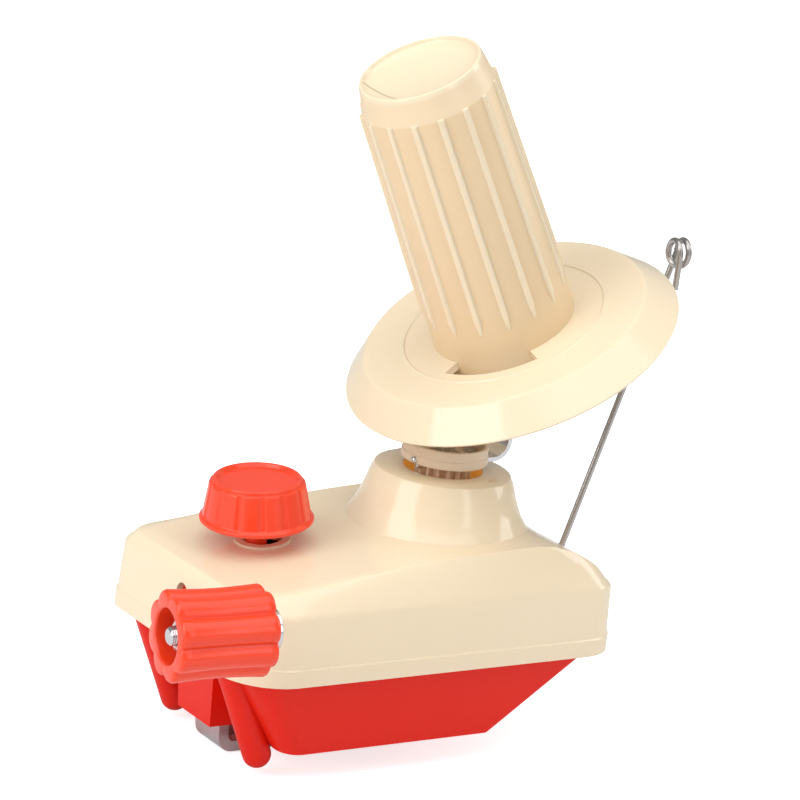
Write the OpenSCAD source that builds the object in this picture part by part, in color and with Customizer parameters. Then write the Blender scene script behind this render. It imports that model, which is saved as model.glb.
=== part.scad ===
// Hand-cranked yarn ball winder with a table-edge clamp.
// Frame: the origin lies on the table plane under the neck axis, +Z is up, the crank end is at -X.
// All lengths are in millimetres, all angles in degrees.

/* [Cover] */
// From the neck axis to the end wall on the crank side
cover_front = 90.5; // [88:0.5:96]
// From the neck axis to the rear end wall
cover_rear = 47; // [44:0.5:56]
// Half of the cover's width at the rim
cover_half_width = 42; // [40:0.5:50]
// Corner radius of the cover's plan at the crank end, on the grip's side
corner_near = 18; // [14:0.5:20]
// Corner radius of the cover's plan at the crank end, on the far side
corner_far = 9; // [8:0.5:14]
// Corner radius of the cover's plan at the rear
corner_rear = 13; // [11:0.5:18]
// Wall thickness of the cover
cover_wall = 2.4; // [1.8:0.1:3]
// Height of the rim's lower edge above the table
rim_z = 24.3; // [23:0.1:27]
// Height of the thickened band along the rim
rim_band = 5.2; // [4:0.1:7]
// How far the band stands out from the wall
rim_proud = 0.5; // [0.2:0.1:1]
// Height where the straight wall turns into the roof
wall_top_z = 45.5; // [43:0.5:48]
// How far the straight wall leans inwards at its top
wall_lean = 0.65; // [0.2:0.05:1.2]
// Rounding between wall and roof
wall_round = 1.2; // [0.8:0.1:2]
// Roof height above the table at the clamp hole
roof_z = 53.3; // [52.5:0.1:55]
// Slope of the roof between the crank end and the neck
roof_slope = 8.7; // [6:0.1:10]
// Height of the roof's flat shoulder beside the neck
shoulder_z = 59.5; // [57:0.5:62]
// Width of the sloping face along the roof's long sides
side_run = 6; // [5:0.25:8]
// Width of the sloping face above the end walls
end_run = 2.2; // [2:0.1:4]
// Slope of the roof behind the neck
rear_slope = 33; // [28:0.5:38]

/* [Neck] */
// Height of the neck's top face above the table
neck_top_z = 74.6; // [72:0.2:75]
// Outer radius of the neck at its top
neck_r = 21.7; // [20:0.1:23]
// Lean of the neck's side from upright
neck_draft = 13; // [8:0.5:16]
// Radius of the hole in the neck's top
neck_hole_r = 12.5; // [11:0.1:14]
// Rounding of the neck's top edge
neck_round = 1.2; // [0.6:0.1:2]

/* [Base] */
// Half width of the base at the table
base_half_width = 36.2; // [34:0.1:38]
// Where the base's underside starts at the crank end
base_start_x = -70; // [-71:0.5:-68]
// Where the base's underside ends at the rear
base_end_x = 5.2; // [0:0.1:10]
// Where the base's sloping rear wall meets the rim
base_rear_x = 36; // [30:0.5:38]
// Gap between the base's side wall and the cover's rim line
base_inset = 2.6; // [2.5:0.1:4]
// Corner radius of the base's underside at the crank end
base_foot_r = 6; // [4:0.5:8]
// Corner radius of the base below the rim at the crank end
base_rim_r = 11; // [9:0.5:13]
// Corner radius of the base at the rear
base_rear_r = 3; // [2:0.5:5]
// Wall thickness of the base
base_wall = 2.5; // [2:0.1:3.5]
// Thickness of the flange inside the rim
flange_t = 2.8; // [2:0.1:4]
// Radius of the table-edge fingers
finger_r = 4.4; // [3.5:0.1:5]
// Distance of each finger from the middle plane
finger_y = 24.2; // [20:0.2:27]
// How far the finger tips reach below the table plane
finger_drop = 7.6; // [6:0.1:9]
// Slant of the fingers from upright
finger_slant = 24.6; // [20:0.2:27]
// End face of the clamp housing between the fingers
housing_x = -80.5; // [-82:0.1:-80]
// Half width of the clamp housing
housing_half_width = 9.4; // [9:0.1:11]

/* [Fasteners] */
// Distance of the cover screws from the middle plane
screw_y = 27; // [24:0.5:29]
// Place of the front pair of cover screws
screw_front_x = -34; // [-38:0.5:-30]
// Place of the rear pair of cover screws
screw_rear_x = 20; // [16:0.5:24]
// Radius of the cover screws' threads
screw_r = 1.5; // [1.2:0.1:2]
// Radius of the cover screws' heads
screw_head_r = 3; // [2.5:0.1:3.5]

/* [Crank] */
// Height of the crank shaft above the table
crank_z = 38; // [37:0.1:38.5]
// Radius of the crank shaft
crank_shaft_r = 2.75; // [2.5:0.05:3]
// Half width of the arched notch for the crank shaft
notch_r = 3; // [2.9:0.1:3.6]
// Height of the arched notch's top
notch_top_z = 43.6; // [42.5:0.1:44]
// Distance from the crank shaft to the grip's axis
crank_reach = 60.6; // [56:0.1:64]
// Angle of the crank arm above the level towards the near side
crank_rise = 12.2; // [0:0.1:30]
// Radius of the crank arm's rod
arm_r = 2.5; // [2.2:0.05:2.6]
// Radius of the arm's bend at the middle of the rod
arm_bend = 4; // [3.5:0.25:6]
// Radius of the flattened end that holds the grip's bolt
lug_r = 6; // [5:0.25:7]
// Thickness of that flattened end
lug_t = 3.6; // [3:0.1:4]
// Lean of the grip's axis towards the middle of the cover
grip_lean = 8; // [0:0.5:12]
// Radius of the grip over its lobes
grip_r = 13.2; // [12:0.1:15]
// Length of the grip
grip_len = 29.8; // [28:0.2:34]
// Radius of each lobe
lobe_r = 5.8; // [5.4:0.1:6.2]
// Number of lobes around the grip
grip_lobes = 8; // [7:1:9]
// Radius of the grip's end recess
grip_recess_r = 8; // [7:0.1:8.5]
// Depth of the grip's end recess
grip_recess_depth = 8; // [7:0.2:10]
// Radius of the bolt that the grip turns on
grip_bolt_r = 2.5; // [2:0.05:3]

/* [Gears] */
// Tooth module of the drive gears
gear_module = 1; // [1:0.01:1.02]
// Teeth on the drive pinion
pinion_teeth = 16; // [16:1:17]
// Teeth on the face gear
face_teeth = 52; // [50:1:53]
// Radial width of the face gear's teeth
face_width = 3; // [2.5:0.1:3.5]
// Teeth on the fixed sun gear
sun_teeth = 20; // [18:1:22]
// Teeth on the planet gear
planet_teeth = 32; // [30:1:34]
// Distance from the apex to the bevel gears' large ends
cone_reach = 54; // [53:0.25:55]
// Length of the bevel teeth
bevel_width = 6; // [4:0.25:7]
// Share of the tooth pitch that is left open as backlash
backlash = 0.12; // [0.08:0.01:0.16]

/* [Spindle] */
// Lean of the spindle from upright
spindle_tilt = 29; // [27:0.5:30]
// Height where the spindle's axis crosses the neck axis
apex_z = 148.8; // [147:0.2:151]
// From the apex down to the disc's flat top
disc_drop = 32; // [30:0.2:33]
// Radius of the disc's flat top
disc_flat_r = 45; // [42:0.5:48]
// Radius of the disc's rim
disc_r = 53.6; // [51:0.2:55]
// Height of the disc's sloping skirt
skirt_h = 9.2; // [7:0.2:10]
// Thickness of the disc
disc_t = 2.4; // [2:0.1:3]
// Radius of the raised ring on the disc
bead_r = 32.4; // [30:0.2:36]
// Outer radius of the arc slots in the disc
slot_r = 28.6; // [26:0.2:29.5]
// Sweep of each arc slot
slot_sweep = 62; // [40:1:80]
// From the apex up to the spindle tube's rim
tube_top = 59; // [56:0.5:64]
// Radius of the tube's wall at its foot
tube_foot_r = 22.3; // [21.5:0.1:22.8]
// Radius of the tube's wall under the smooth band
tube_wall_r = 20.7; // [19.5:0.1:21.5]
// Radius of the tube's rim
tube_rim_r = 19; // [18:0.1:20]
// Height of the smooth band above the ribs
tube_band = 8.2; // [6:0.2:10]
// Wall thickness of the tube
tube_wall = 1.8; // [1.4:0.1:2.4]
// Number of ribs along the tube
rib_count = 16; // [12:1:20]
// How far the ribs stand out
rib_h = 0.9; // [0.5:0.1:1.2]
// Width of a rib
rib_w = 1.4; // [1:0.1:2]
// Bare height of the tube below the ribs
rib_start = 12; // [8:0.5:16]
// Depth of the dished top
dish_depth = 5; // [3:0.2:7]
// Distance of the thread slit from the tube's axis
slit_x = 13.2; // [10:0.2:14]
// Width of the thread slit
slit_w = 1.2; // [0.8:0.1:2]
// Radius of the spindle's axle
axle_r = 3; // [2.5:0.1:3.2]

/* [Rotor] */
// Radius of the ring under the spindle
ring_r = 13.6; // [13.2:0.1:14.5]
// Height of the ring
ring_h = 6.4; // [5.5:0.1:7]
// Thickness of the bent bracket
bracket_t = 1.5; // [1.2:0.1:2]
// Width of the bent bracket
bracket_w = 12; // [10:0.5:13]
// Outer face of the bracket's upright part
bracket_x = 20.9; // [20:0.1:22]
// Radius of the post that the rotor turns on
post_r = 3; // [2.5:0.1:3.2]
// Radius of the post below the drive pinion
post_foot_r = 4; // [3.8:0.1:4.5]

/* [Clamp] */
// Lean of the clamp from upright
clamp_tilt = 6.5; // [6:0.25:7.5]
// Place of the clamp screw's axis at table height
clamp_x = -55.7; // [-56.2:0.1:-55.2]
// Distance of the clamp screw from the middle plane
clamp_y = 6; // [5.9:0.1:6.2]
// Radius of the clamp screw
clamp_screw_r = 2.5; // [2:0.1:2.6]
// Radius of the hole for the knob's stem
knob_hole_r = 6.2; // [6.1:0.05:7]
// Radius of the raised ring around that hole
knob_ring_r = 8.6; // [8:0.1:10]
// Radius of the knob's lower lip
knob_r = 17.4; // [16.5:0.1:19]
// Radius of the knob's top
knob_top_r = 14.6; // [13:0.1:15]
// Height of the knob
knob_h = 13.5; // [11.5:0.1:16]
// Thickness of the knob's lower lip
knob_lip_t = 1.5; // [1:0.1:2.5]
// From the table to the knob's lip along the screw
knob_reach = 60.3; // [60:0.1:63]
// Radius of the knob's stem
stem_r = 3.35; // [3.2:0.05:3.6]
// Flutes around the knob
knob_flutes = 14; // [12:1:18]
// Half width of the clamp jaw
jaw_half_width = 7; // [6:0.1:7.2]
// Gap between the base and the jaw as it stands
jaw_gap = 6.2; // [5.5:0.1:7]
// Height of the jaw's channel
jaw_depth = 3.4; // [3:0.1:4]
// Sheet thickness of the jaw
jaw_t = 1.6; // [1.2:0.1:2]
// Length of the jaw's foot under the table
jaw_foot = 28; // [22:0.5:34]

/* [Yarn guide] */
// Radius of the guide's wire
wire_r = 1.05; // [0.9:0.05:1.3]
// Distance of the guide's pivot from the middle plane
guide_y = 21; // [16:0.5:24]
// Height of the guide's pivot above the table
guide_z = 33; // [33:0.2:38]
// Where the wire bends upwards
guide_knee_x = 68.7; // [66:0.1:74]
// Lean of the upright wire away from the neck
guide_lean = 16.8; // [15:0.1:20]
// Height of the eye's middle above the table
eye_z = 136.5; // [130:0.5:142]
// Radius of the eye's coil at the middle of the wire
eye_r = 4.1; // [4:0.1:5]
// Step of the eye's coil
eye_pitch = 3.5; // [3.3:0.1:4]

/* [Hidden] */
$fn = 64;

cream = [0.97, 0.90, 0.74];
red = [0.90, 0.16, 0.09];
steel = [0.72, 0.72, 0.74];
brass = [0.80, 0.62, 0.30];
nylon = [0.93, 0.90, 0.84];

// clearances and small steps
fit = 0.05;
seat = 0.3;
eps = 0.01;
through = 1;

// blends of the roof's faces, in millimetres of height
shoulder_blend = 8;
neck_blend = 20;
corner_steps = 8;
side_steps = 12;
end_steps = 6;
// rings across the sloping faces, steps across the roof, and rings around the neck
edge_shares = [0, 0.04, 0.12, 0.22, 0.5, 0.93, 1.08];
roof_shares = [1, 0.75, 0.5, 0.25];
roof_inset = 9;
neck_rings = [10.2, 6.9, 4.5, 2.9, 1.7, 0.7];

// clamp hole in the roof
knob_hole_shift = 2.3;
knob_hole_x = clamp_x - roof_z * tan(clamp_tilt) + knob_hole_shift;
ring_proud = 0.7;
ring_sunk = 1.2;
// flange inside the rim
flange_z = rim_z + seat;
flange_top = flange_z + flange_t;
flange_inset = cover_wall + seat;

// base: fingers, housing, bearings and towers
base_lip = 2;
finger_ahead = 2.5;
finger_recess = 0.6;
finger_room = 0.4;
housing_t = 14;
housing_flare = 1.2;
housing_lean = 2;
housing_z = 0.3;
bearing_t = 5;
bearing_r = 7;
bearing_half = 12;
tower_wall = 2;
post_tower_h = 12;
jaw_room = 0.5;

// cover screws: what they clamp, the head and the thread's reach into the cover
screw_grip = 5;
screw_head_t = 1.8;
screw_reach = 11;
boss_wall = 2.2;
boss_bore = 13;

// crank: the arm runs just outside the cover, the grip is placed from the arm's flattened end
arm_gap = 0.8;
arm_x = -cover_front - rim_proud - arm_gap - arm_r;
grip_in_x = -arm_r / cos(grip_lean) - grip_r * tan(grip_lean) - seat;
grip_out_x = grip_in_x - grip_len;
grip_core_r = grip_r - 3;
grip_waist = 0.5;
grip_edge = 1.3;
bush_r = crank_shaft_r + 2.2;
bush_len = 6;
bush_ahead = 2;
bush_outer_x = -84;
bush_inner_x = -26.5;
shaft_end_x = bush_outer_x - bush_ahead;
arm_stub_r = 1.6;
arm_stub_len = 8;
recess_floor_x = grip_out_x + grip_recess_depth;
nut_t = 4;
washer_t = 1;
bolt_head_t = 2;

// drive gears: the face gear's crown meshes with the upright pinion
pinion_r = gear_module * pinion_teeth / 2;
face_r = gear_module * face_teeth / 2;
tooth_up = 0.85 * gear_module;
tooth_down = 1.15 * gear_module;
pinion_z = crank_z + face_r - 6;
face_root_x = -pinion_r - tooth_down;
face_web_t = 3;
face_hub_r = 7;
face_hub_len = 3.5;
face_hub_x = face_root_x - face_web_t - face_hub_len;

// rotor stack on the post
ring_z = neck_top_z + 0.6;
ring_floor_z = ring_z + 2.2;
ring_spigot_r = 5.5;
ring_cup_r = ring_r - 1.3;
ring_screw_x = 9.4;
bracket_bend = 6.4;
plate_half = 7;

// bevel pair: both pitch cones share the apex on the neck axis
sun_cone = atan(sin(spindle_tilt) / (planet_teeth / sun_teeth + cos(spindle_tilt)));
planet_cone = spindle_tilt - sun_cone;
bevel_end = (cone_reach - bevel_width) / cone_reach;
sun_z = apex_z - cone_reach * cos(sun_cone);
sun_pitch_r = cone_reach * sin(sun_cone);
planet_s = -cone_reach * cos(planet_cone);
planet_pitch_r = cone_reach * sin(planet_cone);
sun_h = bevel_width * cos(sun_cone);
planet_h = bevel_width * cos(planet_cone);
clip_t = 1;
post_top_z = sun_z + sun_h + seat + clip_t + 1;

// spindle along its own axis, measured from the apex
disc_s = -disc_drop;
hub_r = 8;
hub_top_s = disc_s + 3;
spigot_r = 5.4;
spigot_s = planet_s - 2.4;
tube_floor_t = 3;
rib_ramp = 5;
tube_floor_r = 10;
band_s = tube_top - tube_band;
dish_s = tube_top - dish_depth;
dish_t = 2;
sleeve_r = 6;
sleeve_len = 12;
axle_top_s = dish_s - dish_t - 2.5;
collar_r = 5;
collar_len = 2.2;
// from the apex down to the middle of the bracket's plate
plate_reach = collar_len + seat - spigot_s + bracket_t / 2;
disc_screw_r = 14;
disc_screw_head_t = 1.6;

// clamp along its own axis, measured from the table plane
bridge_t = 2.5;
bridge_s = 46.2;
bridge_half_x = 9;
bridge_post_r = 4;
bridge_near_y = -16.5;
bridge_far_y = 11;
bridge_thread = 8;
bridge_head_r = 2.6;
bridge_head_t = 1.4;
tab_t = 2.5;
tab_s = 23;
tab_half_y = 6;
tab_end = 5.5;
jaw_nut_h = 4;
jaw_nut_r = 4.6;
jaw_bend = 5;
flute_r = 2.4;
flute_depth = 0.6;
knob_body_r = knob_r - 0.9;
knob_ring_top_r = knob_top_r - 1;
knob_shoulder = 1.2;
knob_dish = 1;
knob_cap_t = 2;
knob_under = 4;
knob_edge = 0.4;
knob_top_s = knob_reach + knob_h;
knob_bore_s = knob_top_s - knob_dish - knob_cap_t;
flute_lean = atan((knob_body_r - knob_top_r) / (knob_h - knob_lip_t - knob_shoulder));
screw_tail = 19.8;
jaw_top_z = -jaw_gap;
jaw_low_z = jaw_top_z - jaw_depth;
// outer face of the jaw's leg, in the clamp's own frame
leg_x = -19.8;
leg_top_s = tab_s + tab_t;
// how far the jaw rises and falls from where it stands
jaw_rise = 5;
jaw_fall = 18;

// yarn guide
guide_bend = 6;
guide_tail_x = cover_rear - 10;
guide_bush_r = wire_r + 1.05;
guide_bush_flange_r = guide_bush_r + 0.8;
guide_bush_flange_t = 1.4;
eye_tail = 11;
bend_stop = 1;
joint_len = 0.5;
joint_swell = 0.04;

// Smooth minimum and maximum of two heights, blended over k
function smooth_min(a, b, k) =
    let (h = max(k - abs(a - b), 0) / k)
    min(a, b) - h * h * k / 4;
function smooth_max(a, b, k) = -smooth_min(-a, -b, k);

// Height of the roof's skin over a point, for the outer face or a face set in by some wall.
// The share says how far up the sloping face at the roof's edge the point lies.
function roof_height(x, y, inset, share = 1) =
    let (
        plane = roof_z + (x - knob_hole_x) * tan(roof_slope) - inset,
        shoulder = shoulder_z - inset,
        rear = wall_top_z + (cover_rear - x) * tan(rear_slope) - inset / cos(rear_slope),
        top = smooth_min(smooth_min(plane, shoulder, shoulder_blend), rear, shoulder_blend),
        roof = wall_top_z + (top - wall_top_z) * share,
        neck = neck_top_z - inset - (norm([x, y]) - neck_r + inset) / tan(neck_draft)
    )
    min(smooth_max(roof, neck, neck_blend), neck_top_z - inset);

// Drop of the skin near the wall, a quarter circle seen in section
function edge_drop(d) =
    let (u = max(wall_round - d, 0))
    wall_round - sqrt(wall_round * wall_round - u * u);

// Radius of the plan's corner in the quarter that a direction points to
function plan_corner(d) = d.x > 0 ? corner_rear : d.y < 0 ? corner_near : corner_far;

// Distance from the neck axis to the plan's outline along a direction
function plan_reach(d, inset) =
    let (
        end_x = (d.x > 0 ? cover_rear : cover_front) - inset,
        end_y = cover_half_width - inset,
        round = max(plan_corner(d) - inset, 1),
        u = [abs(d.x), abs(d.y)],
        flat = min(end_x / max(u.x, eps), end_y / max(u.y, eps)),
        centre = [end_x - round, end_y - round],
        along = u * centre
    )
    (u.x * flat > centre.x && u.y * flat > centre.y)
        ? along + sqrt(along * along - centre * centre + round * round)
        : flat;

// Width of the roof's sloping face along a direction: end_run on the ends, side_run on the sides
function edge_run(d) =
    let (
        round = plan_corner(d),
        past = abs(d.y) * plan_reach(d, 0) - cover_half_width + round
    )
    end_run + (side_run - end_run) * max(past, 0) / round;

// Points around the plan's outline, one corner arc and one straight side after the other
function corner_arc(centre, r, start) = [
    for (i = [0 : corner_steps])
        let (a = start + 90 * i / corner_steps)
        centre + r * [cos(a), sin(a)]
];
function straight(p, q, steps) = [for (i = [1 : steps - 1]) p + (q - p) * i / steps];
function plan_outline() =
    let (
        half = cover_half_width,
        far = [corner_far - cover_front, half - corner_far],
        near = [corner_near - cover_front, corner_near - half],
        rear = [cover_rear - corner_rear, half - corner_rear]
    )
    concat(
        corner_arc(rear, corner_rear, 0),
        straight([rear.x, half], [far.x, half], side_steps),
        corner_arc(far, corner_far, 90),
        straight([-cover_front, far.y], [-cover_front, near.y], end_steps),
        corner_arc(near, corner_near, 180),
        straight([near.x, -half], [rear.x, -half], side_steps),
        corner_arc([rear.x, -rear.y], corner_rear, 270),
        straight([cover_rear, -rear.y], [cover_rear, rear.y], end_steps)
    );
plan_points = plan_outline();
plan_dirs = [for (p = plan_points) p / norm(p)];

// Section of the skin along a direction, from the rim up to the neck: [reach, height] pairs
function skin_section(d, inset) =
    let (
        rim = plan_reach(d, inset - (inset > 0 ? 0 : rim_proud)),
        wall = plan_reach(d, inset),
        edge_in = inset + wall_lean,
        run = edge_run(d),
        inner_edge = plan_reach(d, edge_in + roof_inset),
        neck_in = neck_r - inset,
        outer_neck = neck_in + neck_rings[0],
        top = neck_top_z - inset
    )
    concat(
        [[rim, rim_z], [rim, rim_z + rim_band], [wall, rim_z + rim_band + rim_proud]],
        [
            for (share = edge_shares)
                let (r = plan_reach(d, edge_in + share * run))
                [r, roof_height(r * d.x, r * d.y, inset, min(share, 1)) - edge_drop(share * run)]
        ],
        [
            for (share = roof_shares)
                let (r = outer_neck + (inner_edge - outer_neck) * share)
                [r, roof_height(r * d.x, r * d.y, inset)]
        ],
        [
            for (g = neck_rings)
                let (r = neck_in + g)
                [r, roof_height(r * d.x, r * d.y, inset)]
        ],
        [
            [neck_in, top - neck_round],
            [neck_in - neck_round * 0.3, top - neck_round * 0.3],
            [neck_in - neck_round, top]
        ]
    );

// The cover's shell: an outer and an inner skin joined along the rim
module cover_skin() {
    outer = [for (d = plan_dirs) skin_section(d, 0)];
    inner = [for (d = plan_dirs) skin_section(d, cover_wall)];
    count = len(plan_dirs);
    rings = len(outer[0]);
    start = count * rings;
    points = concat(
        [for (i = [0 : count - 1], k = [0 : rings - 1])
            [outer[i][k].x * plan_dirs[i].x, outer[i][k].x * plan_dirs[i].y, outer[i][k].y]],
        [for (i = [0 : count - 1], k = [0 : rings - 1])
            [inner[i][k].x * plan_dirs[i].x, inner[i][k].x * plan_dirs[i].y, inner[i][k].y]]
    );
    walls = [
        for (i = [0 : count - 1], k = [0 : rings - 2])
            let (a = i * rings + k, b = ((i + 1) % count) * rings + k)
            each [
                [a, a + 1, b + 1], [a, b + 1, b],
                [start + a, start + b + 1, start + a + 1], [start + a, start + b, start + b + 1]
            ]
    ];
    foot = [
        for (i = [0 : count - 1])
            let (a = i * rings, b = ((i + 1) % count) * rings)
            each [[a, b, start + b], [a, start + b, start + a]]
    ];
    caps = [
        [for (i = [count - 1 : -1 : 0]) i * rings + rings - 1],
        [for (i = [0 : count - 1]) start + i * rings + rings - 1]
    ];
    polyhedron(points, concat(walls, foot, caps));
}

// Plan with true corner arcs: near and far radius at the crank end, one radius at the rear
module rounded_plan(x0, x1, half, near, far, rear) {
    polygon([
        [x0 + near, -half], [x1 - rear, -half], [x1, rear - half], [x1, half - rear],
        [x1 - rear, half], [x0 + far, half], [x0, half - far], [x0, near - half]
    ]);
    translate([x0 + near, near - half])
        circle(near);
    translate([x0 + far, half - far])
        circle(far);
    for (y = [rear - half, half - rear])
        translate([x1 - rear, y])
            circle(rear);
}

// Straight round bar along X
module bar_x(x0, x1, r) {
    translate([x0, 0, 0])
        rotate([0, 90, 0])
            cylinder(r = r, h = x1 - x0);
}

// Arc of a round rod about the Z axis, starting at +X, that stops just short of its ends
module rod_arc(bend, angle, r) {
    rotate(bend_stop)
        rotate_extrude(angle = angle - 2 * bend_stop)
            translate([bend, 0])
                circle(r);
}

// Slight swelling of a rod where two stretches meet, along its own +Z
module rod_joint(at, turn, r) {
    translate(at)
        rotate(turn)
            translate([0, 0, -joint_len / 2])
                cylinder(r = r + joint_swell, h = joint_len);
}

// Round tube along Z
module tube_z(r_out, r_in, h) {
    difference() {
        cylinder(r = r_out, h = h);
        translate([0, 0, -through])
            cylinder(r = r_in, h = h + 2 * through);
    }
}

module at_spindle() {
    translate([0, 0, apex_z])
        rotate([0, -spindle_tilt, 0])
            children();
}

module at_clamp() {
    translate([clamp_x, clamp_y, 0])
        rotate([0, -clamp_tilt, 0])
            children();
}

module at_crank() {
    translate([0, 0, crank_z])
        children();
}

// Along the grip's axis, with the arm's flattened end at the origin
module at_grip() {
    at_crank()
        rotate([-crank_rise, 0, 0])
            translate([arm_x, -crank_reach, 0])
                rotate([0, 0, -grip_lean])
                    children();
}

module at_cover_screws() {
    for (x = [screw_front_x, screw_rear_x], y = [-screw_y, screw_y])
        translate([x, y, 0])
            children();
}

// One gear tooth's section, root at r = 0 side, centred on +X
module tooth(pitch_r, teeth, up, down, open_share) {
    pitch = 360 / teeth;
    half = pitch * (0.25 - open_share / 2);
    root = pitch_r - down;
    tip = pitch_r + up;
    polygon([
        (root - 0.4) * [cos(half * 1.55), -sin(half * 1.55)],
        pitch_r * [cos(half), -sin(half)],
        tip * [cos(half * 0.45), -sin(half * 0.45)],
        tip * [cos(half * 0.45), sin(half * 0.45)],
        pitch_r * [cos(half), sin(half)],
        (root - 0.4) * [cos(half * 1.55), sin(half * 1.55)]
    ]);
}

module gear_section(pitch_r, teeth, up, down, open_share) {
    circle(pitch_r - down);
    for (i = [0 : teeth - 1])
        rotate(i * 360 / teeth)
            tooth(pitch_r, teeth, up, down, open_share);
}

// Frame

module base_form(z0, z1, inset) {
    hull() {
        translate([0, 0, z0])
            linear_extrude(eps)
                rounded_plan(
                    base_start_x + inset, base_end_x - inset, base_half_width - inset,
                    base_foot_r, base_foot_r, base_rear_r, $fn = 32
                );
        translate([0, 0, z1 - eps])
            linear_extrude(eps)
                rounded_plan(
                    -cover_front + base_inset + base_lip + inset, base_rear_x - inset,
                    cover_half_width - base_inset - inset,
                    base_rim_r, base_rim_r, base_rear_r, $fn = 32
                );
    }
}

module at_finger(y) {
    translate([base_start_x - finger_ahead, y, finger_r - finger_drop])
        children();
}

module finger(y) {
    rise = (rim_z + finger_drop) / cos(finger_slant);
    at_finger(y) {
        sphere(finger_r);
        rotate([0, -finger_slant, 0])
            cylinder(r = finger_r, h = rise);
    }
}

module clamp_housing() {
    half = housing_half_width;
    hull() {
        translate([housing_x, -half, housing_z])
            cube([housing_t, 2 * half, eps]);
        translate([housing_x - housing_lean, -half - housing_flare, rim_z])
            cube([housing_t, 2 * half + 2 * housing_flare, eps]);
    }
}

// Upright that carries the outer crank bush, bridging the clamp jaw's leg
module front_bearing() {
    translate([bush_outer_x, -bearing_half, rim_z])
        cube([bearing_t, 2 * bearing_half, crank_z - rim_z - bearing_r / 2]);
    at_crank()
        bar_x(bush_outer_x, bush_outer_x + bearing_t, bearing_r);
}

module rear_bearing() {
    translate([bush_inner_x, -bearing_r, base_wall / 2])
        cube([bearing_t, 2 * bearing_r, crank_z - base_wall / 2]);
    at_crank()
        bar_x(bush_inner_x, bush_inner_x + bearing_t, bearing_r);
}

// Room for the jaw's leg and its tab over the whole travel
module jaw_way() {
    leg_half = jaw_half_width + jaw_room;
    tab_half = tab_half_y + jaw_room;
    leg_bottom = jaw_low_z - jaw_fall;
    leg_top = leg_top_s + jaw_rise + 2 * jaw_room;
    tab_low = tab_s - jaw_fall - jaw_room;
    tab_top = leg_top_s + jaw_rise + jaw_nut_h;
    at_clamp() {
        translate([leg_x - jaw_room, -clamp_y - leg_half, leg_bottom])
            cube([jaw_depth + 2 * jaw_room, 2 * leg_half, leg_top - leg_bottom]);
        translate([leg_x - jaw_room, -tab_half, tab_low])
            cube([-leg_x, 2 * tab_half, tab_top - tab_low]);
    }
}

module base() {
    color(red)
    difference() {
        union() {
            difference() {
                union() {
                    difference() {
                        base_form(0, rim_z, 0);
                        for (y = [-finger_y, finger_y])
                            at_finger(y)
                                cylinder(
                                    r = finger_r + finger_room,
                                    h = finger_drop - finger_r + finger_recess
                                );
                    }
                    clamp_housing();
                    difference() {
                        union() {
                            finger(-finger_y);
                            finger(finger_y);
                        }
                        translate([-2 * cover_front, -cover_half_width, rim_z])
                            cube([2 * cover_front, 2 * cover_half_width, cover_front]);
                    }
                    translate([0, 0, rim_z - eps])
                        linear_extrude(flange_top - rim_z + eps)
                            rounded_plan(
                                -cover_front + flange_inset, cover_rear - flange_inset,
                                cover_half_width - flange_inset, corner_near - flange_inset,
                                corner_far - flange_inset, corner_rear - flange_inset
                            );
                }
                base_form(base_wall, flange_top + flange_t + tower_wall, base_wall);
            }
            front_bearing();
            rear_bearing();
            cylinder(r = post_foot_r + tower_wall, h = post_tower_h);
            at_cover_screws()
                cylinder(r = screw_head_r + tower_wall, h = flange_top);
            at_clamp()
                for (y = [bridge_near_y, bridge_far_y])
                    translate([0, y, tower_wall])
                        cylinder(r = bridge_post_r, h = bridge_s - tower_wall);
        }
        // crank bushes, post and screws
        at_crank()
            bar_x(-cover_front, bush_inner_x + bush_len, bush_r + fit);
        translate([0, 0, base_wall])
            cylinder(r = post_foot_r + fit, h = rim_z);
        at_cover_screws() {
            translate([0, 0, -through])
                cylinder(r = screw_head_r + seat, h = flange_top - screw_grip + through);
            cylinder(r = screw_r + fit, h = flange_top + through);
        }
        at_clamp()
            for (y = [bridge_near_y, bridge_far_y])
                translate([0, y, bridge_s - bridge_thread - tower_wall])
                    cylinder(r = screw_r + fit, h = bridge_thread + 2 * tower_wall);
        jaw_way();
        // the rear screw towers end at the sloping wall
        difference() {
            translate([base_end_x, -base_half_width, -through])
                cube([cover_rear, 2 * base_half_width, rim_z + through]);
            base_form(0, rim_z, 0);
        }
    }
}

module cover_boss(x, y) {
    translate([x, y, flange_top])
        cylinder(r = screw_r + boss_wall, h = roof_height(x, y, cover_wall / 2) - flange_top);
}

module at_knob_hole() {
    translate([knob_hole_x, clamp_y, roof_z])
        rotate([0, -roof_slope, 0])
            children();
}

module cover() {
    color(cream)
    difference() {
        union() {
            cover_skin();
            for (x = [screw_front_x, screw_rear_x], y = [-screw_y, screw_y])
                cover_boss(x, y);
            at_knob_hole()
                translate([0, 0, -ring_sunk])
                    cylinder(r = knob_ring_r, h = ring_sunk + ring_proud);
        }
        translate([0, 0, neck_top_z - 3 * cover_wall])
            cylinder(r = neck_hole_r, h = 4 * cover_wall);
        at_knob_hole()
            translate([0, 0, -3 * cover_wall])
                cylinder(r = knob_hole_r, h = 6 * cover_wall);
        translate([0, 0, notch_top_z - notch_r])
            bar_x(-cover_front - through, shaft_end_x, notch_r);
        translate([-cover_front - through, -notch_r, rim_z - through])
            cube([cover_front + shaft_end_x + through, 2 * notch_r, notch_top_z - notch_r - rim_z + through]);
        translate([0, guide_y, guide_z])
            bar_x(guide_tail_x, cover_rear + through, guide_bush_r + fit);
        for (x = [screw_front_x, screw_rear_x], y = [-screw_y, screw_y])
            translate([x, y, flange_top - through])
                cylinder(r = screw_r + fit, h = boss_bore + through);
    }
}

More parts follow.
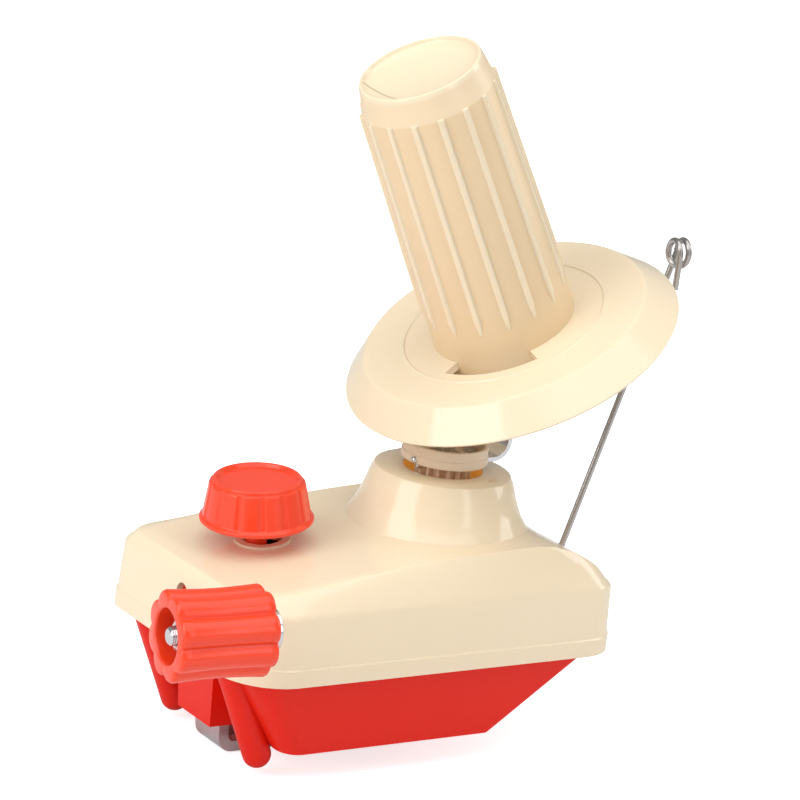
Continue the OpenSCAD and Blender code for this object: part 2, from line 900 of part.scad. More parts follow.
module cover_screws() {
    color(steel)
    at_cover_screws()
        translate([0, 0, flange_top - screw_grip - screw_head_t]) {
            cylinder(r = screw_head_r, h = screw_head_t);
            cylinder(r = screw_r, h = screw_head_t + screw_grip + screw_reach);
        }
}

module centre_post() {
    color(steel)
    union() {
        translate([0, 0, base_wall])
            cylinder(r = post_foot_r, h = pinion_z - seat - base_wall);
        translate([0, 0, base_wall])
            cylinder(r = post_r, h = post_top_z - base_wall);
    }
}

module sun_gear() {
    color(nylon)
    translate([0, 0, sun_z])
        difference() {
            union() {
                linear_extrude(sun_h, scale = bevel_end)
                    gear_section(sun_pitch_r, sun_teeth, 0.8, 1.1, backlash, $fn = 40);
                translate([0, 0, -2])
                    cylinder(r = sun_pitch_r - 2, h = 2 + eps);
            }
            translate([0, 0, -2 - through])
                cylinder(r = post_r + fit, h = sun_h + 2 + 2 * through);
        }
}

module sun_clip() {
    color(steel)
    translate([0, 0, sun_z + sun_h + eps])
        tube_z(post_r + 2, post_r + fit, clip_t);
}

module crank_bush(x) {
    color(brass)
    at_crank()
        difference() {
            bar_x(x, x + bush_len, bush_r);
            bar_x(x - through, x + bush_len + through, crank_shaft_r + fit);
        }
}

module crank_bush_outer() {
    crank_bush(shaft_end_x);
}

module crank_bush_inner() {
    crank_bush(bush_inner_x - 0.5);
}

module clamp_bridge() {
    color(steel)
    at_clamp()
        translate([0, 0, bridge_s])
            difference() {
                translate([-bridge_half_x, bridge_near_y - 5, 0])
                    cube([2 * bridge_half_x, bridge_far_y - bridge_near_y + 10, bridge_t]);
                translate([0, 0, -through])
                    cylinder(r = clamp_screw_r + fit, h = bridge_t + 2 * through);
                for (y = [bridge_near_y, bridge_far_y])
                    translate([0, y, -through])
                        cylinder(r = screw_r + fit, h = bridge_t + 2 * through);
            }
}

module bridge_screws() {
    color(steel)
    at_clamp()
        for (y = [bridge_near_y, bridge_far_y])
            translate([0, y, bridge_s - bridge_thread]) {
                cylinder(r = screw_r, h = bridge_thread + bridge_t + eps);
                translate([0, 0, bridge_thread + bridge_t])
                    cylinder(r = bridge_head_r, h = bridge_head_t);
            }
}

module guide_bush() {
    color(red)
    translate([0, guide_y, guide_z])
        difference() {
            union() {
                bar_x(guide_tail_x + 1, cover_rear + seat, guide_bush_r);
                bar_x(cover_rear, cover_rear + guide_bush_flange_t, guide_bush_flange_r);
            }
            bar_x(guide_tail_x - through, cover_rear + guide_bush_flange_t + through, wire_r + fit);
        }
}

// Crank

module crank_shaft() {
    color(steel)
    at_crank()
        difference() {
            bar_x(shaft_end_x, face_root_x + 0.5, crank_shaft_r);
            bar_x(shaft_end_x - through, shaft_end_x + arm_stub_len + seat, arm_stub_r + fit);
        }
}

module face_gear() {
    color(nylon)
    at_crank()
        difference() {
            union() {
                bar_x(face_hub_x, face_root_x, face_hub_r);
                bar_x(face_root_x - face_web_t, face_root_x, face_r + face_width / 2 + 0.6);
                for (i = [0 : face_teeth - 1])
                    rotate([i * 360 / face_teeth + 180 / face_teeth, 0, 0])
                        crown_tooth();
            }
            bar_x(face_hub_x - through, through, crank_shaft_r + fit);
            // lightening holes in the web
            for (i = [0 : 5])
                rotate([i * 60, 0, 0])
                    translate([0, 0, (face_r + face_hub_r) / 2 - 0.5])
                        bar_x(face_root_x - face_web_t - through, through, 4.6);
        }
}

// A tooth of the crown: a trapezoid bar along the gear's radius
module crown_tooth() {
    half = PI * gear_module * (0.25 - backlash / 2);
    lean = tan(20);
    tall = tooth_down + tooth_up;
    translate([0, 0, face_r - face_width / 2])
        linear_extrude(face_width)
            polygon([
                [face_root_x - 0.5, half + lean * (tooth_down + 0.5)],
                [face_root_x + tall, half - lean * tooth_up],
                [face_root_x + tall, lean * tooth_up - half],
                [face_root_x - 0.5, -half - lean * (tooth_down + 0.5)]
            ]);
}

// Bent rod: its stub sits in the shaft's end, its flattened end holds the grip's bolt
module crank_arm() {
    color(steel)
    difference() {
        union() {
            at_crank()
                rotate([-crank_rise, 0, 0]) {
                    bar_x(shaft_end_x, shaft_end_x + arm_stub_len, arm_stub_r);
                    bar_x(arm_x + arm_bend, shaft_end_x, arm_r);
                    translate([arm_x + arm_bend, -arm_bend, 0])
                        rotate(90)
                            rod_arc(arm_bend, 90, arm_r);
                    translate([arm_x, -arm_bend, 0])
                        rotate([90, 0, 0])
                            cylinder(r = arm_r, h = crank_reach - arm_bend - grip_bolt_r - through);
                    rod_joint([arm_x + arm_bend, 0, 0], [0, 90, 0], arm_r);
                    rod_joint([arm_x, -arm_bend, 0], [90, 0, 0], arm_r);
                }
            at_grip()
                bar_x(grip_in_x + seat, lug_t / 2 + through, lug_r);
        }
        at_grip()
            bar_x(grip_in_x, lug_t, grip_bolt_r + fit);
        // the rod is flattened to the lug's inner face
        at_grip()
            bar_x(lug_t / 2, 2 * lug_t, lug_r + through);
    }
}

module hex_x(x0, x1, r) {
    translate([x0, 0, 0])
        rotate([0, 90, 0])
            cylinder(r = r, h = x1 - x0, $fn = 6);
}

// Holds the face gear's hub on the shaft
module crank_nut() {
    color(steel)
    at_crank()
        difference() {
            hex_x(face_hub_x - nut_t, face_hub_x, crank_shaft_r + 2.4);
            bar_x(face_hub_x - nut_t - through, face_hub_x + through, crank_shaft_r + fit);
        }
}

module grip_bolt() {
    color(steel)
    at_grip() {
        bar_x(recess_floor_x - washer_t - nut_t - 2, lug_t / 2 + eps, grip_bolt_r);
        bar_x(lug_t / 2, lug_t / 2 + bolt_head_t, grip_bolt_r + 2);
    }
}

module grip_washer() {
    color(steel)
    at_grip()
        difference() {
            bar_x(recess_floor_x - seat - washer_t, recess_floor_x - seat, grip_bolt_r + 2.8);
            bar_x(recess_floor_x - 3, recess_floor_x + 1, grip_bolt_r + fit);
        }
}

module grip_nut() {
    x = recess_floor_x - seat - washer_t;
    color(steel)
    at_grip()
        difference() {
            hex_x(x - nut_t, x, grip_bolt_r + 2.1);
            bar_x(x - nut_t - through, x + through, grip_bolt_r + fit);
        }
}

// Envelope of the grip: rounded ends and a slight waist
module grip_envelope() {
    full = grip_r - 0.1;
    rotate([0, 90, 0])
        rotate_extrude()
            polygon([
                [0, grip_out_x],
                [full - grip_edge, grip_out_x],
                [full - grip_edge / 3, grip_out_x + grip_edge / 3],
                [full, grip_out_x + grip_edge],
                [full - grip_waist, (grip_out_x + grip_in_x) / 2],
                [full, grip_in_x - grip_edge],
                [full - grip_edge / 3, grip_in_x - grip_edge / 3],
                [full - grip_edge, grip_in_x],
                [0, grip_in_x]
            ]);
}

module crank_grip() {
    color(red)
    at_grip()
        difference() {
            intersection() {
                translate([grip_out_x - through, 0, 0])
                    rotate([90, 0, 90])
                        linear_extrude(grip_len + 2 * through)
                            union() {
                                circle(grip_core_r);
                                for (i = [0 : grip_lobes - 1])
                                    rotate((i + 0.5) * 360 / grip_lobes)
                                        translate([grip_r - lobe_r, 0])
                                            circle(lobe_r);
                            }
                grip_envelope();
            }
            bar_x(grip_out_x - through, grip_in_x + through, grip_bolt_r + fit);
            bar_x(grip_out_x - through, recess_floor_x, grip_recess_r);
        }
}

// Rotor

module drive_pinion() {
    color(cream)
    difference() {
        union() {
            translate([0, 0, pinion_z])
                linear_extrude(ring_z - pinion_z)
                    gear_section(pinion_r, pinion_teeth, tooth_up, tooth_down, backlash);
            translate([0, 0, pinion_z])
                cylinder(r = ring_spigot_r, h = ring_floor_z - pinion_z);
        }
        translate([0, 0, pinion_z - through])
            cylinder(r = post_r + fit, h = ring_floor_z - pinion_z + 2 * through);
    }
}

module rotor_ring() {
    color(cream)
    difference() {
        translate([0, 0, ring_z])
            rotate_extrude()
                polygon([
                    [ring_spigot_r + fit, 0],
                    [ring_r, 0],
                    [ring_r, 2.6],
                    [ring_r - 0.5, 3],
                    [ring_r - 0.5, ring_h],
                    [ring_cup_r, ring_h],
                    [ring_cup_r, ring_floor_z - ring_z],
                    [ring_spigot_r + fit, ring_floor_z - ring_z]
                ]);
        translate([-ring_r - 1, -bracket_w / 2 - seat, ring_floor_z])
            cube([2 * ring_r + 2, bracket_w + 2 * seat, ring_h]);
        for (x = [-ring_screw_x, ring_screw_x])
            translate([x, 0, ring_z - through])
                cylinder(r = screw_r - 0.4 + fit, h = ring_h);
    }
}

// The bent strip: flat on the ring, up beside it and square to the spindle at its end
module tilt_bracket() {
    plate = [plate_reach * sin(spindle_tilt), apex_z - plate_reach * cos(spindle_tilt)];
    along = [cos(spindle_tilt), sin(spindle_tilt)];
    square_to = [-sin(spindle_tilt), cos(spindle_tilt)];
    inner_x = bracket_x - bracket_t;
    top_at = function (x) plate.y + (x - plate.x) * tan(spindle_tilt);
    bend = [bracket_x - bracket_bend, ring_floor_z + bracket_bend];
    end = plate + plate_half * along;
    outer_low = [for (a = [270 : 10 : 360]) bend + bracket_bend * [cos(a), sin(a)]];
    inner_low = [for (a = [360 : -10 : 270]) bend + (bracket_bend - bracket_t) * [cos(a), sin(a)]];
    color(steel)
    difference() {
        rotate([90, 0, 0])
            translate([0, 0, -bracket_w / 2])
                linear_extrude(bracket_w)
                    polygon(concat(
                        [[-ring_cup_r + 0.5, ring_floor_z]],
                        outer_low,
                        [
                            [bracket_x, top_at(bracket_x) - bracket_t / 2 / cos(spindle_tilt)],
                            end - square_to * bracket_t / 2,
                            end + square_to * bracket_t / 2,
                            [inner_x, top_at(inner_x) + bracket_t / 2 / cos(spindle_tilt)]
                        ],
                        inner_low,
                        [[-ring_cup_r + 0.5, ring_floor_z + bracket_t]]
                    ));
        translate([0, 0, ring_floor_z - through])
            cylinder(r = post_r + 0.6, h = bracket_t + 2 * through);
        for (x = [-ring_screw_x, ring_screw_x])
            translate([x, 0, ring_floor_z - through])
                cylinder(r = screw_r - 0.4 + fit, h = bracket_t + 2 * through);
        at_spindle()
            translate([0, 0, -plate_reach - 2 * through])
                cylinder(r = axle_r + fit, h = 4 * through);
    }
}

module ring_screws() {
    color(steel)
    for (x = [-ring_screw_x, ring_screw_x])
        translate([x, 0, ring_z]) {
            cylinder(r = screw_r - 0.4, h = ring_floor_z + bracket_t - ring_z + eps);
            translate([0, 0, ring_floor_z + bracket_t - ring_z])
                cylinder(r = screw_r + 0.4, h = 1.2);
        }
}

module spindle_axle() {
    low = -plate_reach - bracket_t / 2 - nut_t - 1;
    color(steel)
    at_spindle()
        union() {
            translate([0, 0, low])
                cylinder(r = axle_r, h = axle_top_s - low);
            translate([0, 0, -plate_reach + bracket_t / 2])
                cylinder(r = collar_r, h = spigot_s - seat + plate_reach - bracket_t / 2);
        }
}

module axle_nut() {
    color(steel)
    at_spindle()
        translate([0, 0, -plate_reach - bracket_t / 2 - nut_t])
            difference() {
                cylinder(r = axle_r + 2.4, h = nut_t, $fn = 6);
                translate([0, 0, -through])
                    cylinder(r = axle_r + fit, h = nut_t + 2 * through);
            }
}

module axle_clip() {
    color(steel)
    at_spindle()
        translate([0, 0, hub_top_s + seat])
            tube_z(axle_r + 3, axle_r + fit, clip_t);
}

// Spindle

module flange_disc() {
    color(cream)
    at_spindle()
        difference() {
            rotate_extrude($fn = 96)
                polygon([
                    [axle_r + fit, spigot_s],
                    [spigot_r, spigot_s],
                    [spigot_r, planet_s + planet_h + seat],
                    [hub_r, planet_s + planet_h + seat],
                    [hub_r, disc_s - disc_t],
                    [disc_flat_r - 1, disc_s - disc_t],
                    [disc_r - disc_t, disc_s - skirt_h],
                    [disc_r - 0.4, disc_s - skirt_h],
                    [disc_r, disc_s - skirt_h + 0.6],
                    [disc_flat_r + 0.5, disc_s - 0.25],
                    [disc_flat_r - 0.4, disc_s],
                    [bead_r + 0.6, disc_s],
                    [bead_r + 0.3, disc_s + 0.35],
                    [bead_r - 0.3, disc_s + 0.35],
                    [bead_r - 0.6, disc_s],
                    [hub_r, disc_s],
                    [hub_r, hub_top_s],
                    [axle_r + fit, hub_top_s]
                ]);
            for (a = [-136, 44])
                rotate(a - slot_sweep / 2)
                    translate([0, 0, disc_s - disc_t - through])
                        rotate_extrude(angle = slot_sweep, $fn = 96)
                            translate([tube_foot_r + seat, 0])
                                square([slot_r - tube_foot_r - seat, disc_t + 2 * through]);
            at_disc_screws()
                translate([0, 0, disc_s - disc_t - through])
                    cylinder(r = screw_r + fit, h = disc_t + 2 * through);
        }
}

module at_disc_screws() {
    for (a = [-16, 104, 224])
        rotate(a)
            translate([disc_screw_r, 0, 0])
                children();
}

module rib() {
    foot_s = disc_s + rib_start;
    top_s = band_s - seat;
    slope = (tube_foot_r - tube_wall_r) / (band_s - disc_s);
    wall_at = function (s) tube_foot_r - (s - disc_s) * slope;
    rotate([90, 0, 0])
        translate([0, 0, -rib_w / 2])
            linear_extrude(rib_w)
                polygon([
                    [wall_at(foot_s) - tube_wall / 2, foot_s],
                    [wall_at(foot_s) - seat, foot_s],
                    [wall_at(foot_s + rib_ramp) + rib_h, foot_s + rib_ramp],
                    [wall_at(top_s) + rib_h, top_s],
                    [wall_at(top_s) - tube_wall / 2, top_s]
                ]);
}

module spindle_tube() {
    inner_top_s = dish_s - dish_t;
    color(cream)
    at_spindle()
        difference() {
            union() {
                rotate_extrude($fn = 96)
                    polygon([
                        [tube_floor_r, disc_s],
                        [tube_foot_r, disc_s],
                        [tube_wall_r, band_s],
                        [tube_rim_r, tube_top - 0.5],
                        [tube_rim_r - 0.4, tube_top],
                        [tube_rim_r - 1.2, tube_top],
                        [tube_rim_r - 1.8, dish_s + 0.8],
                        [tube_rim_r - 4, dish_s],
                        [0, dish_s],
                        [0, axle_top_s + 1],
                        [axle_r + fit, axle_top_s + 1],
                        [axle_r + fit, inner_top_s - sleeve_len],
                        [sleeve_r, inner_top_s - sleeve_len],
                        [sleeve_r, inner_top_s],
                        [tube_wall_r - tube_wall - 0.6, inner_top_s],
                        [tube_foot_r - tube_wall, disc_s + tube_floor_t],
                        [tube_floor_r, disc_s + tube_floor_t]
                    ]);
                for (i = [0 : rib_count - 1])
                    rotate((i + 0.5) * 360 / rib_count)
                        rib();
                at_disc_screws()
                    translate([0, 0, disc_s])
                        cylinder(r = screw_r + 1.8, h = tube_floor_t + 6);
            }
            translate([-slit_x - slit_w / 2, -tube_rim_r - 2, dish_s - 1])
                cube([slit_w, 2 * tube_rim_r + 4, dish_depth + 2]);
            at_disc_screws()
                translate([0, 0, disc_s - through])
                    cylinder(r = screw_r + fit, h = tube_floor_t + 4 + through);
        }
}

module planet_gear() {
    color(nylon)
    at_spindle()
        translate([0, 0, planet_s])
            difference() {
                rotate(180 / planet_teeth)
                    linear_extrude(planet_h, scale = bevel_end)
                        gear_section(planet_pitch_r, planet_teeth, 0.8, 1.1, backlash, $fn = 40);
                translate([0, 0, -through])
                    cylinder(r = spigot_r + fit, h = planet_h + 2 * through);
            }
}

module disc_screws() {
    color(steel)
    at_spindle()
        at_disc_screws()
            translate([0, 0, disc_s - disc_t - disc_screw_head_t]) {
                cylinder(r = screw_head_r - 0.2, h = disc_screw_head_t);
                cylinder(r = screw_r, h = disc_screw_head_t + disc_t + tube_floor_t + 3);
            }
}

// Clamp

module clamp_knob() {
    stem_s = bridge_s + bridge_t + seat;
    body_s = knob_reach + knob_lip_t;
    shoulder_s = knob_top_s - knob_shoulder;
    color(red)
    at_clamp()
        difference() {
            rotate_extrude($fn = 96)
                polygon([
                    [clamp_screw_r + fit, stem_s],
                    [stem_r, stem_s],
                    [stem_r, knob_reach + knob_under],
                    [knob_top_r - 3, knob_reach + knob_under],
                    [knob_r - 2.4, knob_reach],
                    [knob_r - knob_edge, knob_reach],
                    [knob_r, knob_reach + knob_edge],
                    [knob_r, body_s - knob_edge],
                    [knob_body_r, body_s + knob_edge],
                    [knob_top_r, shoulder_s - knob_edge],
                    [knob_top_r - knob_edge, shoulder_s],
                    [knob_ring_top_r, shoulder_s],
                    [knob_ring_top_r, knob_top_s - knob_edge],
                    [knob_ring_top_r - knob_edge, knob_top_s],
                    [knob_ring_top_r - 3 * knob_edge, knob_top_s],
                    [knob_ring_top_r - 5 * knob_edge, knob_top_s - knob_dish],
                    [0, knob_top_s - knob_dish],
                    [0, knob_bore_s],
                    [clamp_screw_r + fit, knob_bore_s]
                ]);
            for (i = [0 : knob_flutes - 1])
                rotate((i + 0.5) * 360 / knob_flutes)
                    translate([knob_body_r - flute_depth + flute_r, 0, body_s + 2 * knob_edge])
                        rotate([0, -flute_lean, 0])
                            cylinder(r = flute_r, h = knob_h);
        }
}

module clamp_screw() {
    low = tab_s - screw_tail;
    color(steel)
    at_clamp()
        translate([0, 0, low])
            cylinder(r = clamp_screw_r, h = knob_bore_s - seat - low);
}

module screw_clip() {
    color(steel)
    at_clamp()
        translate([0, 0, bridge_s - seat - clip_t])
            tube_z(clamp_screw_r + 2.2, clamp_screw_r + fit, clip_t);
}

// Section of the jaw: leg along the clamp's lean, bend, level foot
function jaw_section(depth) =
    let (
        lean = tan(clamp_tilt),
        up = [-sin(clamp_tilt), cos(clamp_tilt)],
        across = [cos(clamp_tilt), sin(clamp_tilt)],
        start = [clamp_x, 0] + leg_x * across,
        centre_z = jaw_low_z + jaw_bend,
        centre = [start.x - (centre_z - start.y) * lean + jaw_bend / cos(clamp_tilt), centre_z],
        top = start + leg_top_s * up,
        end_x = centre.x + jaw_foot,
        turn = [for (a = [180 + clamp_tilt : 10 : 270]) [cos(a), sin(a)]]
    )
    concat(
        [top],
        [for (t = turn) centre + jaw_bend * t],
        [[end_x, jaw_low_z], [end_x, jaw_low_z + depth]],
        [for (i = [len(turn) - 1 : -1 : 0]) centre + (jaw_bend - depth) * turn[i]],
        [top + depth * across]
    );

module jaw_strip(y0, y1, depth) {
    translate([0, y1, 0])
        rotate([90, 0, 0])
            linear_extrude(y1 - y0)
                polygon(jaw_section(depth));
}

module clamp_jaw() {
    color(steel)
    difference() {
        union() {
            jaw_strip(-jaw_half_width, jaw_half_width, jaw_t);
            jaw_strip(-jaw_half_width, jaw_t - jaw_half_width, jaw_depth);
            jaw_strip(jaw_half_width - jaw_t, jaw_half_width, jaw_depth);
            at_clamp()
                translate([leg_x, -tab_half_y, tab_s])
                    cube([tab_end - leg_x, 2 * tab_half_y, tab_t]);
        }
        at_clamp()
            translate([0, 0, tab_s - through])
                cylinder(r = clamp_screw_r + fit, h = tab_t + 2 * through);
    }
}

module jaw_nut() {
    color(steel)
    at_clamp()
        translate([0, 0, tab_s + tab_t])
            difference() {
                cylinder(r = jaw_nut_r, h = jaw_nut_h, $fn = 6);
                translate([0, 0, -through])
                    cylinder(r = clamp_screw_r + fit, h = jaw_nut_h + 2 * through);
            }
}

// Yarn guide: a wire that leaves its bush level, turns upwards and ends in a coiled eye

// Half turn of the eye between two points at eye height, over the top or under the bottom
module eye_half_turn(from, to, over) {
    span = to - from;
    middle = (from + to) / 2;
    translate([middle.x, middle.y, eye_z])
        rotate([over ? 90 : -90, 0, atan2(span.y, span.x)])
            rod_arc(norm(span) / 2, 180, wire_r);
}

module yarn_guide() {
    turn = 90 - guide_lean;
    up = [sin(guide_lean), 0, cos(guide_lean)];
    side = [cos(guide_lean), 0, -sin(guide_lean)];
    knee = [guide_knee_x - guide_bend, guide_y, guide_z + guide_bend];
    rise_from = knee + guide_bend * side;
    rise = (eye_z - guide_bend * sin(guide_lean) - rise_from.z) / cos(guide_lean);
    rise_to = rise_from + rise * up;
    neck = rise_to - guide_bend * side;
    far = guide_y;
    near = guide_y - 2 * eye_r;
    eye_x = [for (i = [0 : 3]) neck.x + guide_bend - i * eye_pitch / 2];
    color(steel)
    union() {
        translate([0, guide_y, guide_z])
            bar_x(guide_tail_x + 2, knee.x, wire_r);
        translate(knee)
            rotate([90, 0, 0])
                rotate(-90)
                    rod_arc(guide_bend, turn, wire_r);
        translate(rise_from)
            rotate([0, guide_lean, 0])
                cylinder(r = wire_r, h = rise);
        translate(neck)
            rotate([90, 0, 0])
                rotate(-guide_lean)
                    rod_arc(guide_bend, guide_lean, wire_r);
        eye_half_turn([eye_x[0], far], [eye_x[1], near], true);
        eye_half_turn([eye_x[1], near], [eye_x[2], far], false);
        eye_half_turn([eye_x[2], far], [eye_x[3], near], true);
        translate([eye_x[3], near, eye_z - eye_tail])
            cylinder(r = wire_r, h = eye_tail);
        rod_joint([knee.x, guide_y, guide_z], [0, 90, 0], wire_r);
        rod_joint(rise_from, [0, guide_lean, 0], wire_r);
        rod_joint(rise_to, [0, guide_lean, 0], wire_r);
        rod_joint([eye_x[0], far, eye_z], [0, 0, 0], wire_r);
        rod_joint([eye_x[1], near, eye_z], [0, 0, 0], wire_r);
        rod_joint([eye_x[2], far, eye_z], [0, 0, 0], wire_r);
        rod_joint([eye_x[3], near, eye_z], [0, 0, 0], wire_r);
    }
}

base();
cover();
cover_screws();
centre_post();
sun_gear();
sun_clip();
crank_bush_outer();
crank_bush_inner();
clamp_bridge();
bridge_screws();
guide_bush();
crank_shaft();
face_gear();
crank_arm();
crank_nut();
grip_bolt();
grip_washer();
grip_nut();
crank_grip();
drive_pinion();
rotor_ring();
tilt_bracket();
ring_screws();
spindle_axle();
axle_nut();
axle_clip();
flange_disc();
spindle_tube();
planet_gear();
disc_screws();
clamp_knob();
clamp_screw();
screw_clip();
clamp_jaw();
jaw_nut();
yarn_guide();
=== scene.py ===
import bpy
import bmesh
import math
from mathutils import Matrix, Vector


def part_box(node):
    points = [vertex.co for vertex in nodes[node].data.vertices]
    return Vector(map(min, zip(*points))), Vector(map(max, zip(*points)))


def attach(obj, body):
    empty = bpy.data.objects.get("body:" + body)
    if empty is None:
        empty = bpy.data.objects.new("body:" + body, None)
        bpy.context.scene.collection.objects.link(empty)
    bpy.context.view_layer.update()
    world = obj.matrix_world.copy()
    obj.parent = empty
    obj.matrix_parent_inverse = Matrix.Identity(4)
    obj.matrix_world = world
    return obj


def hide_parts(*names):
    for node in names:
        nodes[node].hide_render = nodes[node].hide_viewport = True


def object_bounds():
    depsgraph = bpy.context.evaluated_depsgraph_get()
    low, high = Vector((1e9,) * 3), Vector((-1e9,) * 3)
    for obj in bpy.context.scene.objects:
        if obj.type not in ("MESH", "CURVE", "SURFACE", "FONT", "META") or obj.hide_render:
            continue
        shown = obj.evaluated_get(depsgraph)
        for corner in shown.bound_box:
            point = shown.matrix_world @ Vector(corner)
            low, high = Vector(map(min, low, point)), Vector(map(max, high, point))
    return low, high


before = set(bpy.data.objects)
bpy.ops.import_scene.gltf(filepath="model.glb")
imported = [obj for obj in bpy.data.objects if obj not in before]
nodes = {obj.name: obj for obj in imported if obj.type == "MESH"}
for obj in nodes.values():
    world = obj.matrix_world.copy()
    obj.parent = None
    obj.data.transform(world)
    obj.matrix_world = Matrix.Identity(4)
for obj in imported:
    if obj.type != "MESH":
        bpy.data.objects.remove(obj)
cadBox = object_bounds()
scene = bpy.context.scene
scene.view_settings.view_transform = "Standard"
mm = 0.001
weldGap = 0.003 * mm  # facet corners closer than this are one
print("frame loaded,", len(nodes), "solids")

# camera where the photograph was taken from, angles in degrees, lengths in metres
photoCamera = {
    "azimuth": -35.98987,
    "elevation": 15.10427,
    "roll": 7.58783,
    "sideShift": 0.00377808,
    "upShift": -0.09215492,
    "distance": 1.10359323,
    "lens": 157.5,
    "sensor": 36.0,
}


def placeCamera(view):
    az, el, roll = (math.radians(view[k]) for k in ("azimuth", "elevation", "roll"))
    back = Vector((math.sin(az) * math.cos(el), -math.cos(az) * math.cos(el), math.sin(el)))
    right = Vector((math.cos(az), math.sin(az), 0.0))
    up = back.cross(right)
    camRight = right * math.cos(roll) + up * math.sin(roll)
    camUp = up * math.cos(roll) - right * math.sin(roll)
    spot = back * view["distance"] - camRight * view["sideShift"] - camUp * view["upShift"]
    data = bpy.data.cameras.new("photoCamera")
    data.lens = view["lens"]
    data.sensor_width = view["sensor"]
    data.sensor_fit = "HORIZONTAL"
    data.clip_start, data.clip_end = 0.01, 20.0
    cam = bpy.data.objects.new("photoCamera", data)
    scene.collection.objects.link(cam)
    turn = Matrix((camRight, camUp, back)).transposed().to_4x4()
    cam.matrix_world = Matrix.Translation(spot) @ turn
    scene.camera = cam


placeCamera(photoCamera)
print("camera placed")


# shader groups that several finishes share
def newGroup(name, inputs, outputs):
    group = bpy.data.node_groups.new(name, "ShaderNodeTree")
    for label, kind, value in inputs:
        socket = group.interface.new_socket(label, in_out="INPUT", socket_type=kind)
        if value is not None:
            socket.default_value = value
    for label, kind in outputs:
        group.interface.new_socket(label, in_out="OUTPUT", socket_type=kind)
    start = group.nodes.new("NodeGroupInput")
    end = group.nodes.new("NodeGroupOutput")
    return group, start, end


def addNode(tree, kind, **settings):
    node = tree.nodes.new(kind)
    for key, value in settings.items():
        setattr(node, key, value)
    return node


def addMath(tree, operation, first, second, clamp=False):
    node = addNode(tree, "ShaderNodeMath", operation=operation, use_clamp=clamp)
    for i, value in enumerate((first, second)):
        if isinstance(value, (int, float)):
            node.inputs[i].default_value = value
        else:
            tree.links.new(value, node.inputs[i])
    return node.outputs[0]


# soft clouding and fine orange peel of an injection moulding
def makeMouldGroup():
    group, start, end = newGroup(
        "mouldedSkin",
        [("Cloud Scale", "NodeSocketFloat", 14.0), ("Peel Scale", "NodeSocketFloat", 900.0)],
        [("Cloud", "NodeSocketFloat"), ("Gloss", "NodeSocketFloat"), ("Peel", "NodeSocketFloat")],
    )
    coord = addNode(group, "ShaderNodeTexCoord")
    cloud = addNode(group, "ShaderNodeTexNoise")
    cloud.inputs["Detail"].default_value = 3.0
    peel = addNode(group, "ShaderNodeTexNoise")
    peel.inputs["Detail"].default_value = 2.0
    flow = addNode(group, "ShaderNodeTexNoise")
    flow.inputs["Scale"].default_value = 55.0
    flow.inputs["Detail"].default_value = 4.0
    for tex in (cloud, peel, flow):
        group.links.new(coord.outputs["Object"], tex.inputs["Vector"])
    group.links.new(start.outputs["Cloud Scale"], cloud.inputs["Scale"])
    group.links.new(start.outputs["Peel Scale"], peel.inputs["Scale"])
    group.links.new(cloud.outputs["Fac"], end.inputs["Cloud"])
    group.links.new(flow.outputs["Fac"], end.inputs["Gloss"])
    group.links.new(peel.outputs["Fac"], end.inputs["Peel"])
    return group


# edges caught by the light: a rounded normal, and a mask along the corners where a lighter tone is
# painted as a highlight
def makeEdgeGroup():
    group, start, end = newGroup(
        "softEdgesAndHighlight",
        [("Radius", "NodeSocketFloat", 0.0004)],
        [("Normal", "NodeSocketVector"), ("PaintedHighlight", "NodeSocketFloat")],
    )
    bevel = addNode(group, "ShaderNodeBevel", samples=6)
    shape = addNode(group, "ShaderNodeNewGeometry")
    dot = addNode(group, "ShaderNodeVectorMath", operation="DOT_PRODUCT")
    group.links.new(start.outputs["Radius"], bevel.inputs["Radius"])
    group.links.new(bevel.outputs["Normal"], dot.inputs[0])
    group.links.new(shape.outputs["Normal"], dot.inputs[1])
    # painted highlight mask: strong where the rounded normal turns away from the face
    turned = addMath(group, "SUBTRACT", 1.0, dot.outputs["Value"])
    edge = addMath(group, "MULTIPLY", turned, 3.0, clamp=True)
    group.links.new(bevel.outputs["Normal"], end.inputs["Normal"])
    group.links.new(edge, end.inputs["PaintedHighlight"])
    return group


# fine drawn lines of rolled and plated metal, running along one axis
def makeDrawnGroup():
    group, start, end = newGroup(
        "drawnMetal",
        [("Stretch", "NodeSocketVector", (1.0, 1.0, 1.0)), ("Scale", "NodeSocketFloat", 900.0)],
        [("Lines", "NodeSocketFloat"), ("Smudge", "NodeSocketFloat")],
    )
    coord = addNode(group, "ShaderNodeTexCoord")
    stretch = addNode(group, "ShaderNodeVectorMath", operation="MULTIPLY")
    lines = addNode(group, "ShaderNodeTexNoise")
    lines.inputs["Detail"].default_value = 3.0
    smudge = addNode(group, "ShaderNodeTexNoise")
    smudge.inputs["Scale"].default_value = 90.0
    smudge.inputs["Detail"].default_value = 4.0
    group.links.new(coord.outputs["Object"], stretch.inputs[0])
    group.links.new(start.outputs["Stretch"], stretch.inputs[1])
    group.links.new(stretch.outputs["Vector"], lines.inputs["Vector"])
    group.links.new(coord.outputs["Object"], smudge.inputs["Vector"])
    group.links.new(start.outputs["Scale"], lines.inputs["Scale"])
    group.links.new(lines.outputs["Fac"], end.inputs["Lines"])
    group.links.new(smudge.outputs["Fac"], end.inputs["Smudge"])
    return group


mouldedSkin = makeMouldGroup()
softEdgesAndHighlight = makeEdgeGroup()
drawnMetal = makeDrawnGroup()
print("shader groups built")


def startMaterial(name):
    mat = bpy.data.materials.new(name)
    mat.use_nodes = True
    tree = mat.node_tree
    return mat, tree, tree.nodes["Principled BSDF"]


def addGroup(tree, group, **values):
    node = addNode(tree, "ShaderNodeGroup", node_tree=group)
    for key, value in values.items():
        node.inputs[key].default_value = value
    return node


